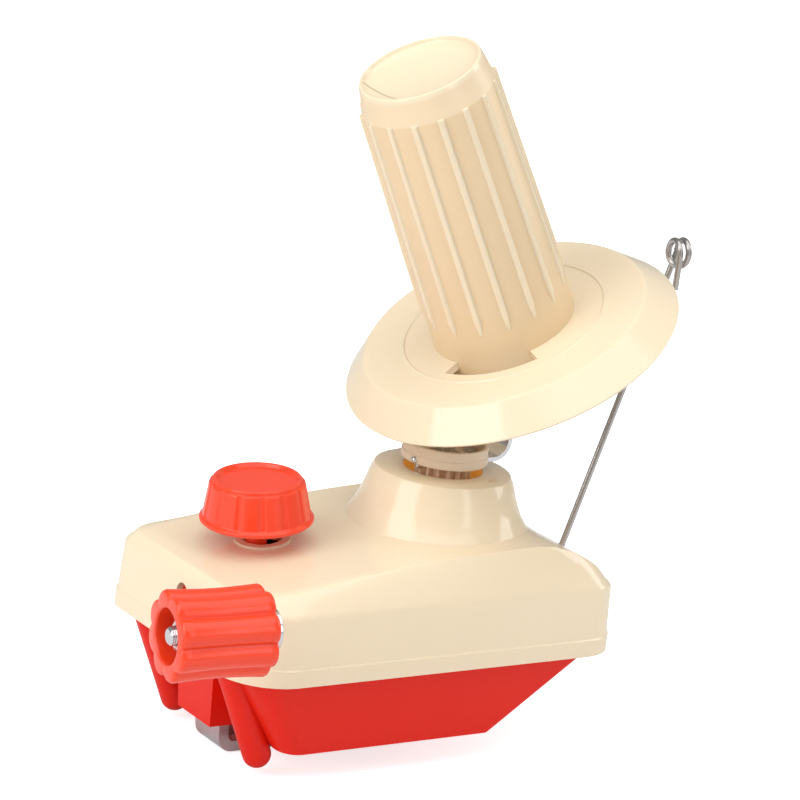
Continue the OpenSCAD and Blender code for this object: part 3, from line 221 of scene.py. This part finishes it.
def addRange(tree, value, low, high):
    node = addNode(tree, "ShaderNodeMapRange")
    node.inputs["To Min"].default_value = low
    node.inputs["To Max"].default_value = high
    tree.links.new(value, node.inputs["Value"])
    return node.outputs["Result"]


def addMix(tree, factor, colorA, colorB):
    node = addNode(tree, "ShaderNodeMix", data_type="RGBA")
    for socket, value in ((node.inputs[6], colorA), (node.inputs[7], colorB)):
        if isinstance(value, tuple):
            socket.default_value = (*value, 1.0)
        else:
            tree.links.new(value, socket)
    tree.links.new(factor, node.inputs[0])
    return node.outputs[2]


def addBump(tree, height, strength, distance, normal):
    node = addNode(tree, "ShaderNodeBump")
    node.inputs["Strength"].default_value = strength
    node.inputs["Distance"].default_value = distance
    tree.links.new(height, node.inputs["Height"])
    tree.links.new(normal, node.inputs["Normal"])
    return node.outputs["Normal"]


# moulded plastics: two tones of the colour, gloss range and bump strength;
# where the corners get a painted highlight, also the corner's radius in metres and the highlight's
# lighter tone
plasticFinish = {
    "creamPlastic": {
        "tones": ((0.85, 0.71, 0.50), (0.885, 0.75, 0.545)),
        "edge": (0.94, 0.83, 0.62),
        "gloss": (0.08, 0.14),
        "peel": 0.05,
        "subsurface": 0.06,
        "corner": 0.0004,
    },
    # painted shade: a darker copy of the cream for the tube's band, rim and the steep faces of its top
    "bandPaintedShade": {
        "tones": ((0.80, 0.635, 0.425), (0.83, 0.67, 0.455)),
        "edge": (0.95, 0.83, 0.62),
        "gloss": (0.29, 0.36),
        "peel": 0.05,
        "subsurface": 0.06,
        "corner": 0.0004,
    },
    "slitShade": {
        "tones": ((0.44, 0.31, 0.15), (0.50, 0.36, 0.19)),
        "gloss": (0.40, 0.50),
        "peel": 0.05,
        "subsurface": 0.0,
    },
    # painted shade: a darker, warmer copy of the cream for the tube's wall and the neck mark
    "paintedShadeCream": {
        "tones": ((0.755, 0.57, 0.35), (0.785, 0.605, 0.38)),
        "edge": (0.95, 0.83, 0.62),
        "gloss": (0.29, 0.36),
        "peel": 0.05,
        "subsurface": 0.06,
        "corner": 0.0004,
    },
    # painted light: a glowing orange for the light inside the neck's bore
    "holeGlow": {
        "tones": ((0.62, 0.24, 0.03), (0.70, 0.30, 0.05)),
        "edge": (0.74, 0.36, 0.08),
        "glow": 0.45,
        "gloss": (0.30, 0.40),
        "peel": 0.05,
        "subsurface": 0.06,
        "corner": 0.0002,
    },
    "redPlastic": {
        "tones": ((0.77, 0.016, 0.006), (0.83, 0.021, 0.009)),
        "gloss": (0.29, 0.37),
        "shine": 0.22,
        "peel": 0.04,
        "subsurface": 0.0,
    },
    "orangePlastic": {
        "tones": ((0.90, 0.052, 0.014), (0.94, 0.064, 0.019)),
        "edge": (0.98, 0.13, 0.055),
        "gloss": (0.17, 0.26),
        "peel": 0.06,
        "subsurface": 0.05,
        "corner": 0.0004,
    },
    "gearNylon": {
        "tones": ((0.70, 0.55, 0.40), (0.76, 0.62, 0.46)),
        "edge": (0.84, 0.74, 0.60),
        "gloss": (0.38, 0.50),
        "peel": 0.08,
        "subsurface": 0.05,
        "corner": 0.0002,
    },
}
peelDepth = 0.4 * mm


def makePlastic(name, finish):
    mat, tree, shader = startMaterial(name)
    skin = addGroup(tree, mouldedSkin)
    tone = addMix(tree, skin.outputs["Cloud"], *finish["tones"])
    if "corner" in finish:
        edges = addGroup(tree, softEdgesAndHighlight, Radius=finish["corner"])
        # painted highlight: the corners get the lighter edge tone
        color = addMix(tree, edges.outputs["PaintedHighlight"], tone, finish["edge"])
        facing = edges.outputs["Normal"]
    else:
        color = tone
        facing = addNode(tree, "ShaderNodeNewGeometry").outputs["Normal"]
    tree.links.new(color, shader.inputs["Base Color"])
    tree.links.new(addRange(tree, skin.outputs["Gloss"], *finish["gloss"]), shader.inputs["Roughness"])
    normal = addBump(tree, skin.outputs["Peel"], finish["peel"], peelDepth, facing)
    tree.links.new(normal, shader.inputs["Normal"])
    # painted light: a finish with a glow gives off its own colour
    tree.links.new(color, shader.inputs["Emission Color"])
    shader.inputs["Emission Strength"].default_value = finish.get("glow", 0.0)
    shader.inputs["Specular IOR Level"].default_value = finish.get("shine", 0.5)
    shader.inputs["IOR"].default_value = 1.5
    shader.inputs["Subsurface Weight"].default_value = finish["subsurface"]
    shader.inputs["Subsurface Radius"].default_value = (1.0, 0.5, 0.25)
    shader.inputs["Subsurface Scale"].default_value = 0.002
    return mat


# metals: clean and dull colour, gloss range, stretch of the drawn lines and their bump strength
metalFinish = {
    "chromeStrip": {
        "color": (0.74, 0.74, 0.76),
        "dull": (0.50, 0.50, 0.52),
        "gloss": (0.08, 0.20),
        "stretch": (1.0, 1.0, 0.08),
        "bump": 0.04,
    },
    "platedSteel": {
        "color": (0.62, 0.62, 0.64),
        "dull": (0.40, 0.40, 0.42),
        "gloss": (0.20, 0.36),
        "stretch": (0.1, 1.0, 1.0),
        "bump": 0.08,
    },
    "guideWire": {
        "color": (0.56, 0.53, 0.51),
        "dull": (0.36, 0.33, 0.31),
        "gloss": (0.20, 0.34),
        "stretch": (1.0, 1.0, 0.06),
        "bump": 0.05,
    },
    "bushBrass": {
        "color": (0.72, 0.52, 0.24),
        "dull": (0.50, 0.33, 0.13),
        "gloss": (0.22, 0.38),
        "stretch": (0.1, 1.0, 1.0),
        "bump": 0.06,
    },
}
metalCorner = 0.25 * mm
lineDepth = 0.2 * mm


def makeMetal(name, finish):
    mat, tree, shader = startMaterial(name)
    drawn = addGroup(tree, drawnMetal, Stretch=finish["stretch"])
    edges = addGroup(tree, softEdgesAndHighlight, Radius=metalCorner)
    mask = addMath(tree, "MULTIPLY", drawn.outputs["Smudge"], 0.6)
    color = addMix(tree, mask, finish["color"], finish["dull"])
    tree.links.new(color, shader.inputs["Base Color"])
    tree.links.new(addRange(tree, drawn.outputs["Smudge"], *finish["gloss"]), shader.inputs["Roughness"])
    normal = addBump(tree, drawn.outputs["Lines"], finish["bump"], lineDepth, edges.outputs["Normal"])
    tree.links.new(normal, shader.inputs["Normal"])
    shader.inputs["Metallic"].default_value = 1.0
    return mat


finishes = {name: makePlastic(name, finish) for name, finish in plasticFinish.items()}
finishes.update({name: makeMetal(name, finish) for name, finish in metalFinish.items()})
print("finishes built:", ", ".join(finishes))

# which finish each solid carries
solidFinish = {
    "creamPlastic": ["cover", "flange_disc", "spindle_tube"],
    "gearNylon": ["rotor_ring", "drive_pinion", "sun_gear", "planet_gear", "face_gear"],
    "redPlastic": ["base", "guide_bush"],
    "orangePlastic": ["clamp_knob", "crank_grip"],
    "chromeStrip": ["tilt_bracket", "crank_arm", "clamp_jaw"],
    "guideWire": ["yarn_guide"],
    "bushBrass": ["crank_bush_outer", "crank_bush_inner"],
}
finishOf = {node: name for name, members in solidFinish.items() for node in members}
for name, solid in nodes.items():
    solid.data.materials.clear()
    solid.data.materials.append(finishes[finishOf.get(name, "platedSteel")])
print("solids dressed")


def weldedShape(mesh):
    shape = bmesh.new()
    shape.from_mesh(mesh)
    bmesh.ops.remove_doubles(shape, verts=shape.verts, dist=weldGap)
    return shape


# curves shade smoothly, edges past the crease angle stay crisp
def markCreases(shape, crease):
    limit = math.radians(crease)
    for face in shape.faces:
        face.smooth = True
    for edge in shape.edges:
        edge.smooth = len(edge.link_faces) == 2 and edge.calc_face_angle(0.0) < limit


# normals that came with a solid don't fit its changed copy
def dropNormals(mesh):
    if "custom_normal" in mesh.attributes:
        mesh.attributes.remove(mesh.attributes["custom_normal"])


# merged copies of the faceted mouldings, so that their curves shade smoothly
smoothCopies = {
    "cover": {"name": "coverSkin", "body": "frame", "slot": "cream_plastic", "crease": 32.0},
    "base": {"name": "baseSkin", "body": "frame", "slot": "red_plastic", "crease": 28.0},
}


def smoothCopy(node, copy):
    mesh = nodes[node].data.copy()
    mesh.name = copy["name"]
    dropNormals(mesh)
    shape = weldedShape(mesh)
    bmesh.ops.recalc_face_normals(shape, faces=shape.faces)
    markCreases(shape, copy["crease"])
    shape.to_mesh(mesh)
    shape.free()
    piece = bpy.data.objects.new(copy["name"], mesh)
    scene.collection.objects.link(piece)
    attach(piece, copy["body"])
    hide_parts(node)


for node, copy in smoothCopies.items():
    smoothCopy(node, copy)
print("smooth skins:", len(smoothCopies))


# a turned form from points (radius, height) in millimetres, its outline closed or ending on the axis
def spinShape(points, steps, closed):
    shape = bmesh.new()
    verts = [shape.verts.new((r * mm, 0.0, h * mm)) for r, h in points]
    count = len(verts)
    last = count if closed else count - 1
    edges = [shape.edges.new((verts[i], verts[(i + 1) % count])) for i in range(last)]
    bmesh.ops.spin(
        shape, geom=verts + edges, axis=(0, 0, 1), cent=(0, 0, 0),
        angle=math.tau, steps=steps, use_merge=True, use_duplicate=False,
    )
    bmesh.ops.remove_doubles(shape, verts=shape.verts, dist=0.001 * mm)
    bmesh.ops.recalc_face_normals(shape, faces=shape.faces)
    return shape


def finishPiece(name, shape, place, crease, finish, body):
    bmesh.ops.transform(shape, matrix=place, verts=shape.verts)
    markCreases(shape, crease)
    mesh = bpy.data.meshes.new(name)
    shape.to_mesh(mesh)
    shape.free()
    dropNormals(mesh)
    mesh.materials.append(finishes[finish])
    piece = bpy.data.objects.new(name, mesh)
    scene.collection.objects.link(piece)
    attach(piece, body)
    return piece


# the winding tube: tapered wall, plain band, shallow dished top and the ribs;
# (radius, height) in the spindle's own frame, its rounded edges as steps from band and rim
tube = {
    "apex": 148.8,
    "tilt": 29.0,
    "foot": (22.7, -32.0),
    "underFoot": -38.4,
    "wall": 1.8,
    "band": (20.7, 50.8),
    "bandStep": ((0.05, -0.4), (-0.25, 0.1)),
    "rim": (19.0, 58.5),
    "rimRound": ((0.25, -0.9), (0.0, -0.2), (-0.15, 0.3), (-0.45, 0.5), (-0.85, 0.5)),
    "lip": (17.9, 58.7),
    "lipDrop": 0.05,
    "dishDepth": 3.4,
    "roof": (18.1, 52.0),
    "turns": 128,
    "ribCount": 16,
    "ribFoot": -22.5,
    "ribRamp": 5.0,
    "ribTop": 50.6,
    "ribHeight": 0.9,
    "ribWidth": (2.1, 1.5),
    "ribTip": 0.75,
    "ribSunk": 0.3,
    "ribRound": 0.3,
    "ribPhase": 0.89,
}
spindleTilt = Matrix.Rotation(math.radians(-tube["tilt"]), 4, "Y")
spindlePlace = Matrix.Translation((0, 0, tube["apex"] * mm)) @ spindleTilt


def wallRadius(h):
    low, high = tube["foot"], tube["band"]
    return low[0] + (high[0] - low[0]) * (h - low[1]) / (high[1] - low[1])


# height of the dished top at a radius
def dishHeight(r):
    lipR, lipH = tube["lip"]
    return lipH - tube["lipDrop"] - tube["dishDepth"] * math.sqrt(max(0.0, 1 - (r / lipR) ** 2))


def addRib(shape, angle):
    foot, ramp, top = tube["ribFoot"], tube["ribFoot"] + tube["ribRamp"], tube["ribTop"]
    wide, slim = (w / 2 for w in tube["ribWidth"])
    rise, sunk = tube["ribHeight"], tube["ribSunk"]
    outline = [
        (wallRadius(foot) - sunk, foot, wide), (wallRadius(foot), foot, tube["ribTip"] / 2),
        (wallRadius(ramp) - sunk, ramp, wide), (wallRadius(ramp) + rise, ramp, slim),
        (wallRadius(top) - sunk, top, wide), (wallRadius(top) + rise, top, slim),
    ]
    turn = Matrix.Rotation(angle, 4, "Z")
    left = [shape.verts.new(turn @ Vector((r * mm, -w * mm, h * mm))) for r, h, w in outline]
    right = [shape.verts.new(turn @ Vector((r * mm, w * mm, h * mm))) for r, h, w in outline]
    faces = []
    for a, b in ((0, 2), (2, 4)):
        faces.append(shape.faces.new((left[a], left[b], left[b + 1], left[a + 1])))
        faces.append(shape.faces.new((right[a], right[a + 1], right[b + 1], right[b])))
        faces.append(shape.faces.new((left[a + 1], left[b + 1], right[b + 1], right[a + 1])))
        faces.append(shape.faces.new((left[b], left[a], right[a], right[b])))
    faces.append(shape.faces.new((left[0], left[1], right[1], right[0])))
    faces.append(shape.faces.new((left[5], left[4], right[4], right[5])))
    bmesh.ops.recalc_face_normals(shape, faces=faces)
    crest = []
    for side in (left, right):
        crest += [e for e in side[3].link_edges if side[5] in e.verts]
    bmesh.ops.bevel(
        shape, geom=crest, offset=tube["ribRound"] * mm, offset_type="OFFSET", segments=3,
        profile=0.5, affect="EDGES", material=-1,
    )


def makeTube():
    footR, footH = tube["foot"]
    bandR, bandH = tube["band"]
    rimR, rimH = tube["rim"]
    roofR, roofH = tube["roof"]
    bore = footR - tube["wall"]
    dish = [tube["lip"][0] * math.cos(math.radians(a)) for a in range(6, 90, 6)] + [0.0]
    points = [(bore, tube["underFoot"]), (footR, tube["underFoot"]), (footR, footH)]
    points += [(bandR + out, bandH + up) for out, up in tube["bandStep"]]
    points += [(rimR + out, rimH + up) for out, up in tube["rimRound"]]
    points += [tube["lip"]] + [(r, dishHeight(r)) for r in dish]
    points += [(0.0, roofH), (roofR, roofH), (bore, footH)]
    shape = spinShape(points, tube["turns"], True)
    # lit and shaded copies of the one cream, painted face by face: the wall in the darker warm cream as
    # painted shade, the band and rim a little lighter, and faces turned up on the top and the ribs in the
    # lightest cream as painted light from above
    band, pale = 1, 2  # places in the piece's material list
    for face in shape.faces:
        height = face.calc_center_median().z / mm
        if height > roofH + 1.0 and face.normal.z > 0.2:
            face.material_index = pale
        elif height > bandH - 0.2:
            face.material_index = band
    wallFaces = set(shape.faces)
    for i in range(tube["ribCount"]):
        addRib(shape, (i + tube["ribPhase"]) * math.tau / tube["ribCount"])
    for face in shape.faces:
        if face not in wallFaces:
            face.material_index = pale
    piece = finishPiece("tubeSkin", shape, spindlePlace, 34.0, "paintedShadeCream", "spindle")
    piece.data.materials.append(finishes["bandPaintedShade"])
    piece.data.materials.append(finishes["creamPlastic"])
    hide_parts("spindle_tube")


# fine slit across the dish, a thin dark strip laid along its curve as painted shade inside the slit
slit = {
    "offset": -13.2,
    "width": 0.35,
    "depth": 0.3,
    "lift": 0.04,
    "endGap": 0.35,
    "steps": 24,
}


def makeSlit():
    x, half, steps = slit["offset"], slit["width"] / 2, slit["steps"]
    reach = math.sqrt(tube["lip"][0] ** 2 - x * x) - slit["endGap"]
    shape = bmesh.new()
    rows = []
    for i in range(steps + 1):
        y = -reach + 2 * reach * i / steps
        row = []
        for side in (x - half, x + half):
            h = dishHeight(math.hypot(side, y)) + slit["lift"]
            high = shape.verts.new((side * mm, y * mm, h * mm))
            low = shape.verts.new((side * mm, y * mm, (h - slit["depth"]) * mm))
            row += [high, low]
        rows.append(row)
    for a, b in zip(rows, rows[1:]):
        for i, j in ((0, 2), (2, 3), (3, 1), (1, 0)):
            shape.faces.new((a[i], a[j], b[j], b[i]))
    for high, low, farHigh, farLow in (rows[0], rows[-1]):
        shape.faces.new((high, farHigh, farLow, low))
    bmesh.ops.recalc_face_normals(shape, faces=shape.faces)
    finishPiece("dishSlit", shape, spindlePlace, 30.0, "slitShade", "spindle")


makeSlit()
makeTube()
print("tube built")

# ring over the neck in two tiers, radii and heights in millimetres
neckRing = {
    "low": 77.3,
    "tier": 80.0,
    "top": 83.0,
    "outer": 13.6,
    "inner": 12.2,
    "spigot": 5.7,
    "floor": 1.9,
    "step": 0.3,
}


def makeRing():
    low, tier, top = neckRing["low"], neckRing["tier"], neckRing["top"]
    outer, inner, spigot = neckRing["outer"], neckRing["inner"], neckRing["spigot"]
    shoulder = outer - neckRing["step"]
    floor = low + neckRing["floor"]
    points = [
        (spigot, low), (outer - 0.5, low), (outer - 0.1, low + 0.2), (outer, low + 0.6),
        (outer, tier - 0.25), (outer - 0.1, tier), (shoulder, tier + 0.1),
        (shoulder, top - 0.3), (shoulder - 0.25, top), (inner, top), (inner, floor), (spigot, floor),
    ]
    shape = spinShape(points, 96, True)
    piece = finishPiece("ringSkin", shape, Matrix(), 34.0, "gearNylon", "rotor")
    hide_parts("rotor_ring")


# the pinion as it is, its teeth carried up to the raised ring
pinionTop = (75.0, 75.4)  # heights between which its top lies


def makePinion():
    shape = weldedShape(nodes["drive_pinion"].data)
    low, high = pinionTop
    for vert in shape.verts:
        if low * mm < vert.co.z < high * mm:
            vert.co.z = neckRing["low"] * mm
    bmesh.ops.recalc_face_normals(shape, faces=shape.faces)
    piece = finishPiece("pinionSkin", shape, Matrix(), 30.0, "gearNylon", "rotor")
    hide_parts("drive_pinion")


# painted light: an orange glowing sheet on the wall of the neck's bore, seen between the teeth
boreGlowSheet = {
    "outer": 12.45,
    "inner": 12.2,
    "low": 69.0,
    "top": 74.35,
    "slope": 0.15,
}


def makeBoreGlowSheet():
    outer, inner, low, top = (boreGlowSheet[k] for k in ("outer", "inner", "low", "top"))
    points = [(outer, top), (outer, low), (inner, low), (inner, top - boreGlowSheet["slope"])]
    shape = spinShape(points, 96, True)
    finishPiece("boreGlowSheet", shape, Matrix(), 40.0, "holeGlow", "frame")


makeRing()
makePinion()
makeBoreGlowSheet()
print("ring and pinion built")

# screw in the ring's side, its head turned outwards
sideScrew = {
    "angle": 191.8,
    "height": 78.6,
    "seat": 13.5,
    "head": ((0.0, 1.05), (0.45, 1.0), (0.85, 0.8), (1.15, 0.4), (1.2, 0.0), (1.2, -0.8), (0.0, -0.8)),
}


def makeSideScrew():
    turn = math.radians(sideScrew["angle"])
    out = Vector((math.cos(turn), math.sin(turn), 0.0))
    spot = out * sideScrew["seat"] + Vector((0.0, 0.0, sideScrew["height"]))
    place = Matrix.Translation(spot * mm) @ out.to_track_quat("Z", "Y").to_matrix().to_4x4()
    shape = spinShape(sideScrew["head"], 24, False)
    finishPiece("sideScrew", shape, place, 40.0, "chromeStrip", "rotor")


# thread past the handle's nut, and the nut itself with its corners broken
gripHardware = {
    "axis": (0.990268069, -0.136030001, 0.029410727),
    "boltRadius": 2.5,
    "pitch": 0.6,
    "turns": 3,
    "rootRise": 0.05,
    "crestRise": 0.32,
    "fromNut": 2.0,
    "tip": (0.45, 0.3),
    "chamfer": 0.4,
}


def makeThread():
    out = -Vector(gripHardware["axis"])
    low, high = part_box("grip_nut")
    face = (Vector(low) + Vector(high)) / 2 + out * gripHardware["fromNut"] * mm
    place = Matrix.Translation(face) @ out.to_track_quat("Z", "Y").to_matrix().to_4x4()
    r, pitch = gripHardware["boltRadius"], gripHardware["pitch"]
    root, crest = r + gripHardware["rootRise"], r + gripHardware["crestRise"]
    tipIn, tipUp = gripHardware["tip"]
    points = [(r, -pitch / 2)]
    for i in range(gripHardware["turns"]):
        points += [(root, pitch * i), (crest, pitch * (i + 0.5))]
    end = pitch * gripHardware["turns"]
    points += [(root, end), (r - tipIn, end + tipUp), (0.0, end + tipUp)]
    shape = spinShape(points, 32, False)
    finishPiece("boltThread", shape, place, 20.0, "chromeStrip", "crank")


def makeNut():
    shape = weldedShape(nodes["grip_nut"].data)
    bmesh.ops.dissolve_limit(shape, angle_limit=0.02, verts=shape.verts, edges=shape.edges)
    sharp = [e for e in shape.edges if len(e.link_faces) == 2 and e.calc_face_angle(0.0) > 0.6]
    bmesh.ops.bevel(
        shape, geom=sharp, offset=gripHardware["chamfer"] * mm, offset_type="OFFSET", segments=2,
        profile=0.5, affect="EDGES", material=-1,
    )
    piece = finishPiece("nutChamfered", shape, Matrix(), 30.0, "chromeStrip", "crank")
    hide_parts("grip_nut")


# low moulded mark on top of the neck, drawn out along the rim, in the darker cream of painted shade
neckMark = {
    "spot": (8.01, -15.73, 74.6),
    "stretch": 2.4,
    "crown": ((0.0, 0.16), (0.8, 0.15), (0.98, 0.08), (1.05, -0.1), (0.0, -0.1)),
}


def makeNeckMark():
    spot = Vector(neckMark["spot"])
    along = Matrix.Rotation(math.atan2(spot.y, spot.x) + math.pi / 2, 4, "Z")
    place = Matrix.Translation(spot * mm) @ along @ Matrix.Diagonal((neckMark["stretch"], 1.0, 1.0, 1.0))
    shape = spinShape(neckMark["crown"], 32, False)
    finishPiece("neckMark", shape, place, 40.0, "paintedShadeCream", "frame")


# the handle: eight deep lobes, a slight waist, rounded ends and a recess for the nut;
# inner and outer run along its axis from its joint, the ends' rounding as (depth, share of the lobes)
grip = {
    "middle": (-94.3, -59.231, 50.806),
    "inner": -4.7,
    "outer": -34.5,
    "lobes": 8,
    "lobeRadius": 4.6,
    "lobeReach": 8.6,
    "waist": 0.04,
    "waistSteps": 14,
    "endRound": ((0.0, 0.925), (0.12, 0.952), (0.5, 0.982), (1.2, 1.0)),
    "recess": 8.0,
    "recessDepth": 8.0,
    "recessRound": 0.3,
    "bore": 2.75,
    "edge": 0.4,
    "samples": 24,
}


def lobeRadius(angle):
    pitch = math.tau / grip["lobes"]
    off = (angle % pitch) - pitch / 2
    reach, r = grip["lobeReach"], grip["lobeRadius"]
    return reach * math.cos(off) + math.sqrt(r * r - (reach * math.sin(off)) ** 2)


# rings along the handle, from the recess round the outside to the bore: (along, plain radius, lobe share)
def gripRings():
    out, inn, edge = grip["outer"], grip["inner"], grip["edge"]
    recess, bore, corner = grip["recess"], grip["bore"], grip["recessRound"]
    floor = out + grip["recessDepth"]
    rings = [(floor, bore, 0), (floor, recess - corner, 0), (floor - corner, recess, 0)]
    rings += [(out + edge, recess, 0), (out, recess + edge, 0)]
    rings += [(out + deep, 0, share) for deep, share in grip["endRound"]]
    ends = grip["endRound"][-1][0]
    for i in range(1, grip["waistSteps"]):
        share = i / grip["waistSteps"]
        along = out + ends + (inn - out - 2 * ends) * share
        rings.append((along, 0, 1.0 - grip["waist"] * math.sin(math.pi * share)))
    rings += [(inn - deep, 0, share) for deep, share in reversed(grip["endRound"])]
    rings += [(inn, bore + edge, 0), (inn - edge, bore, 0)]
    return rings


def makeGrip():
    count = grip["lobes"] * grip["samples"]
    shape = bmesh.new()
    grid = []
    for along, plain, lobed in gripRings():
        row = []
        for k in range(count):
            angle = k * math.tau / count
            r = plain if plain else lobeRadius(angle) * lobed
            row.append(shape.verts.new((along * mm, r * math.cos(angle) * mm, r * math.sin(angle) * mm)))
        grid.append(row)
    for a, b in zip(grid, grid[1:] + grid[:1]):
        for k in range(count):
            shape.faces.new((a[k], a[(k + 1) % count], b[(k + 1) % count], b[k]))
    bmesh.ops.recalc_face_normals(shape, faces=shape.faces)
    turn = Vector(gripHardware["axis"]).to_track_quat("X", "Z").to_matrix().to_4x4()
    place = Matrix.Translation(Vector(grip["middle"]) * mm) @ turn
    piece = finishPiece("gripSkin", shape, place, 36.0, "orangePlastic", "grip")
    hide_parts("crank_grip")


# lug and bolt head pressed thin against the handle, past a limit along its axis
pressed = {
    "crank_arm": {"name": "armSkin", "finish": "chromeStrip", "slot": "chrome_strip", "limit": -1.4},
    "grip_bolt": {"name": "boltSkin", "finish": "platedSteel", "slot": "plated_steel", "limit": -1.2},
}
pressReach = 9.0  # only what lies this near the axis
pressShare = 0.92


def pressFlat(node, flat):
    axis = Vector(gripHardware["axis"])
    middle = Vector(grip["middle"]) * mm
    limit = flat["limit"] * mm
    shape = weldedShape(nodes[node].data)
    for vert in shape.verts:
        along = (vert.co - middle).dot(axis)
        aside = (vert.co - middle - axis * along).length
        if aside < pressReach * mm and along > limit:
            vert.co -= axis * (along - limit) * pressShare
    bmesh.ops.recalc_face_normals(shape, faces=shape.faces)
    piece = finishPiece(flat["name"], shape, Matrix(), 34.0, flat["finish"], "crank")
    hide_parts(node)


# red bearing face seen through the arched notch, on the crank's axis
bearing = {
    "spot": (-87.8, 0.0, 38.0),
    "bore": 3.3,
    "outer": 7.6,
    "thick": 1.2,
}


def makeBearingFace():
    bore, outer, thick = bearing["bore"], bearing["outer"], bearing["thick"]
    points = [(bore, 0.0), (outer, 0.0), (outer, thick), (bore, thick)]
    place = Matrix.Translation(Vector(bearing["spot"]) * mm) @ Matrix.Rotation(math.pi / 2, 4, "Y")
    shape = spinShape(points, 48, True)
    finishPiece("bearingFace", shape, place, 40.0, "redPlastic", "frame")


makeGrip()
for node, flat in pressed.items():
    pressFlat(node, flat)
makeBearingFace()
makeSideScrew()
makeThread()
makeNut()
makeNeckMark()
print("handle and small parts built")

# studio in metres: pale floor under the lowest point, soft lamps, white surround
studio = {
    "floorSize": 12.0,
    "floorGap": 0.0002,
    "floorTone": 0.80,
    "nearLift": 0.72,
    "farLift": 1.0,
    "fade": (0.12, 0.45),
    "surround": 0.48,
    "mirrored": 0.34,
    "aim": (0.0, 0.0, 0.09),
    "lamps": [
        {"name": "keyLamp", "spot": (-1.15, -0.05, 0.66), "size": (0.80, 1.10), "watts": 8.8},
        {"name": "fillLamp", "spot": (1.15, -0.30, 0.72), "size": (0.45, 0.90), "watts": 3.4},
        {"name": "stripLamp", "spot": (0.20, -1.20, 0.50), "size": (0.24, 0.75), "watts": 1.25},
        {"name": "topLamp", "spot": (-0.1, -0.30, 1.28), "size": (1.5, 1.5), "watts": 9.8},
    ],
}


def makeFloor(setup):
    mesh = bpy.data.meshes.new("studioFloor")
    shape = bmesh.new()
    bmesh.ops.create_grid(shape, x_segments=1, y_segments=1, size=setup["floorSize"] / 2)
    bmesh.ops.translate(shape, verts=shape.verts, vec=(0, 0, cadBox[0].z - setup["floorGap"]))
    shape.to_mesh(mesh)
    shape.free()
    floor = bpy.data.objects.new("studioFloor", mesh)
    scene.collection.objects.link(floor)
    mat, tree, shader = startMaterial("studioFloor")
    tone = setup["floorTone"]
    shader.inputs["Base Color"].default_value = (tone, tone, tone, 1.0)
    shader.inputs["Roughness"].default_value = 0.9
    shader.inputs["Specular IOR Level"].default_value = 0.0
    shader.inputs["Emission Color"].default_value = (1.0, 1.0, 1.0, 1.0)
    # white as the camera sees it, a little less close by so that the shadow stays
    coord = addNode(tree, "ShaderNodeTexCoord")
    reach = addNode(tree, "ShaderNodeVectorMath", operation="LENGTH")
    tree.links.new(coord.outputs["Object"], reach.inputs[0])
    lift = addNode(tree, "ShaderNodeMapRange", interpolation_type="SMOOTHSTEP")
    lift.inputs["From Min"].default_value, lift.inputs["From Max"].default_value = setup["fade"]
    lift.inputs["To Min"].default_value = setup["nearLift"]
    lift.inputs["To Max"].default_value = setup["farLift"]
    tree.links.new(reach.outputs["Value"], lift.inputs["Value"])
    path = addNode(tree, "ShaderNodeLightPath")
    glow = addMath(tree, "MULTIPLY", lift.outputs["Result"], path.outputs["Is Camera Ray"])
    tree.links.new(glow, shader.inputs["Emission Strength"])
    mesh.materials.append(mat)


def makeLamp(lamp, target):
    data = bpy.data.lights.new(lamp["name"], "AREA")
    data.shape = "RECTANGLE"
    data.size, data.size_y = lamp["size"]
    data.energy = lamp["watts"]
    obj = bpy.data.objects.new(lamp["name"], data)
    scene.collection.objects.link(obj)
    spot = Vector(lamp["spot"])
    aim = (Vector(target) - spot).to_track_quat("-Z", "Y")
    obj.matrix_world = Matrix.Translation(spot) @ aim.to_matrix().to_4x4()


def makeSurround(setup):
    world = bpy.data.worlds.new("studioSurround")
    world.use_nodes = True
    tree = world.node_tree
    sky = tree.nodes["Background"]
    sky.inputs["Color"].default_value = (1.0, 1.0, 1.0, 1.0)
    path = addNode(tree, "ShaderNodeLightPath")
    level = addNode(tree, "ShaderNodeMapRange")
    level.inputs["To Min"].default_value = setup["surround"]
    level.inputs["To Max"].default_value = setup["mirrored"]
    tree.links.new(path.outputs["Is Glossy Ray"], level.inputs["Value"])
    seen = addMath(tree, "MAXIMUM", level.outputs["Result"], path.outputs["Is Camera Ray"])
    tree.links.new(seen, sky.inputs["Strength"])
    scene.world = world


makeFloor(studio)
for lamp in studio["lamps"]:
    makeLamp(lamp, studio["aim"])
makeSurround(studio)
print("studio lit")
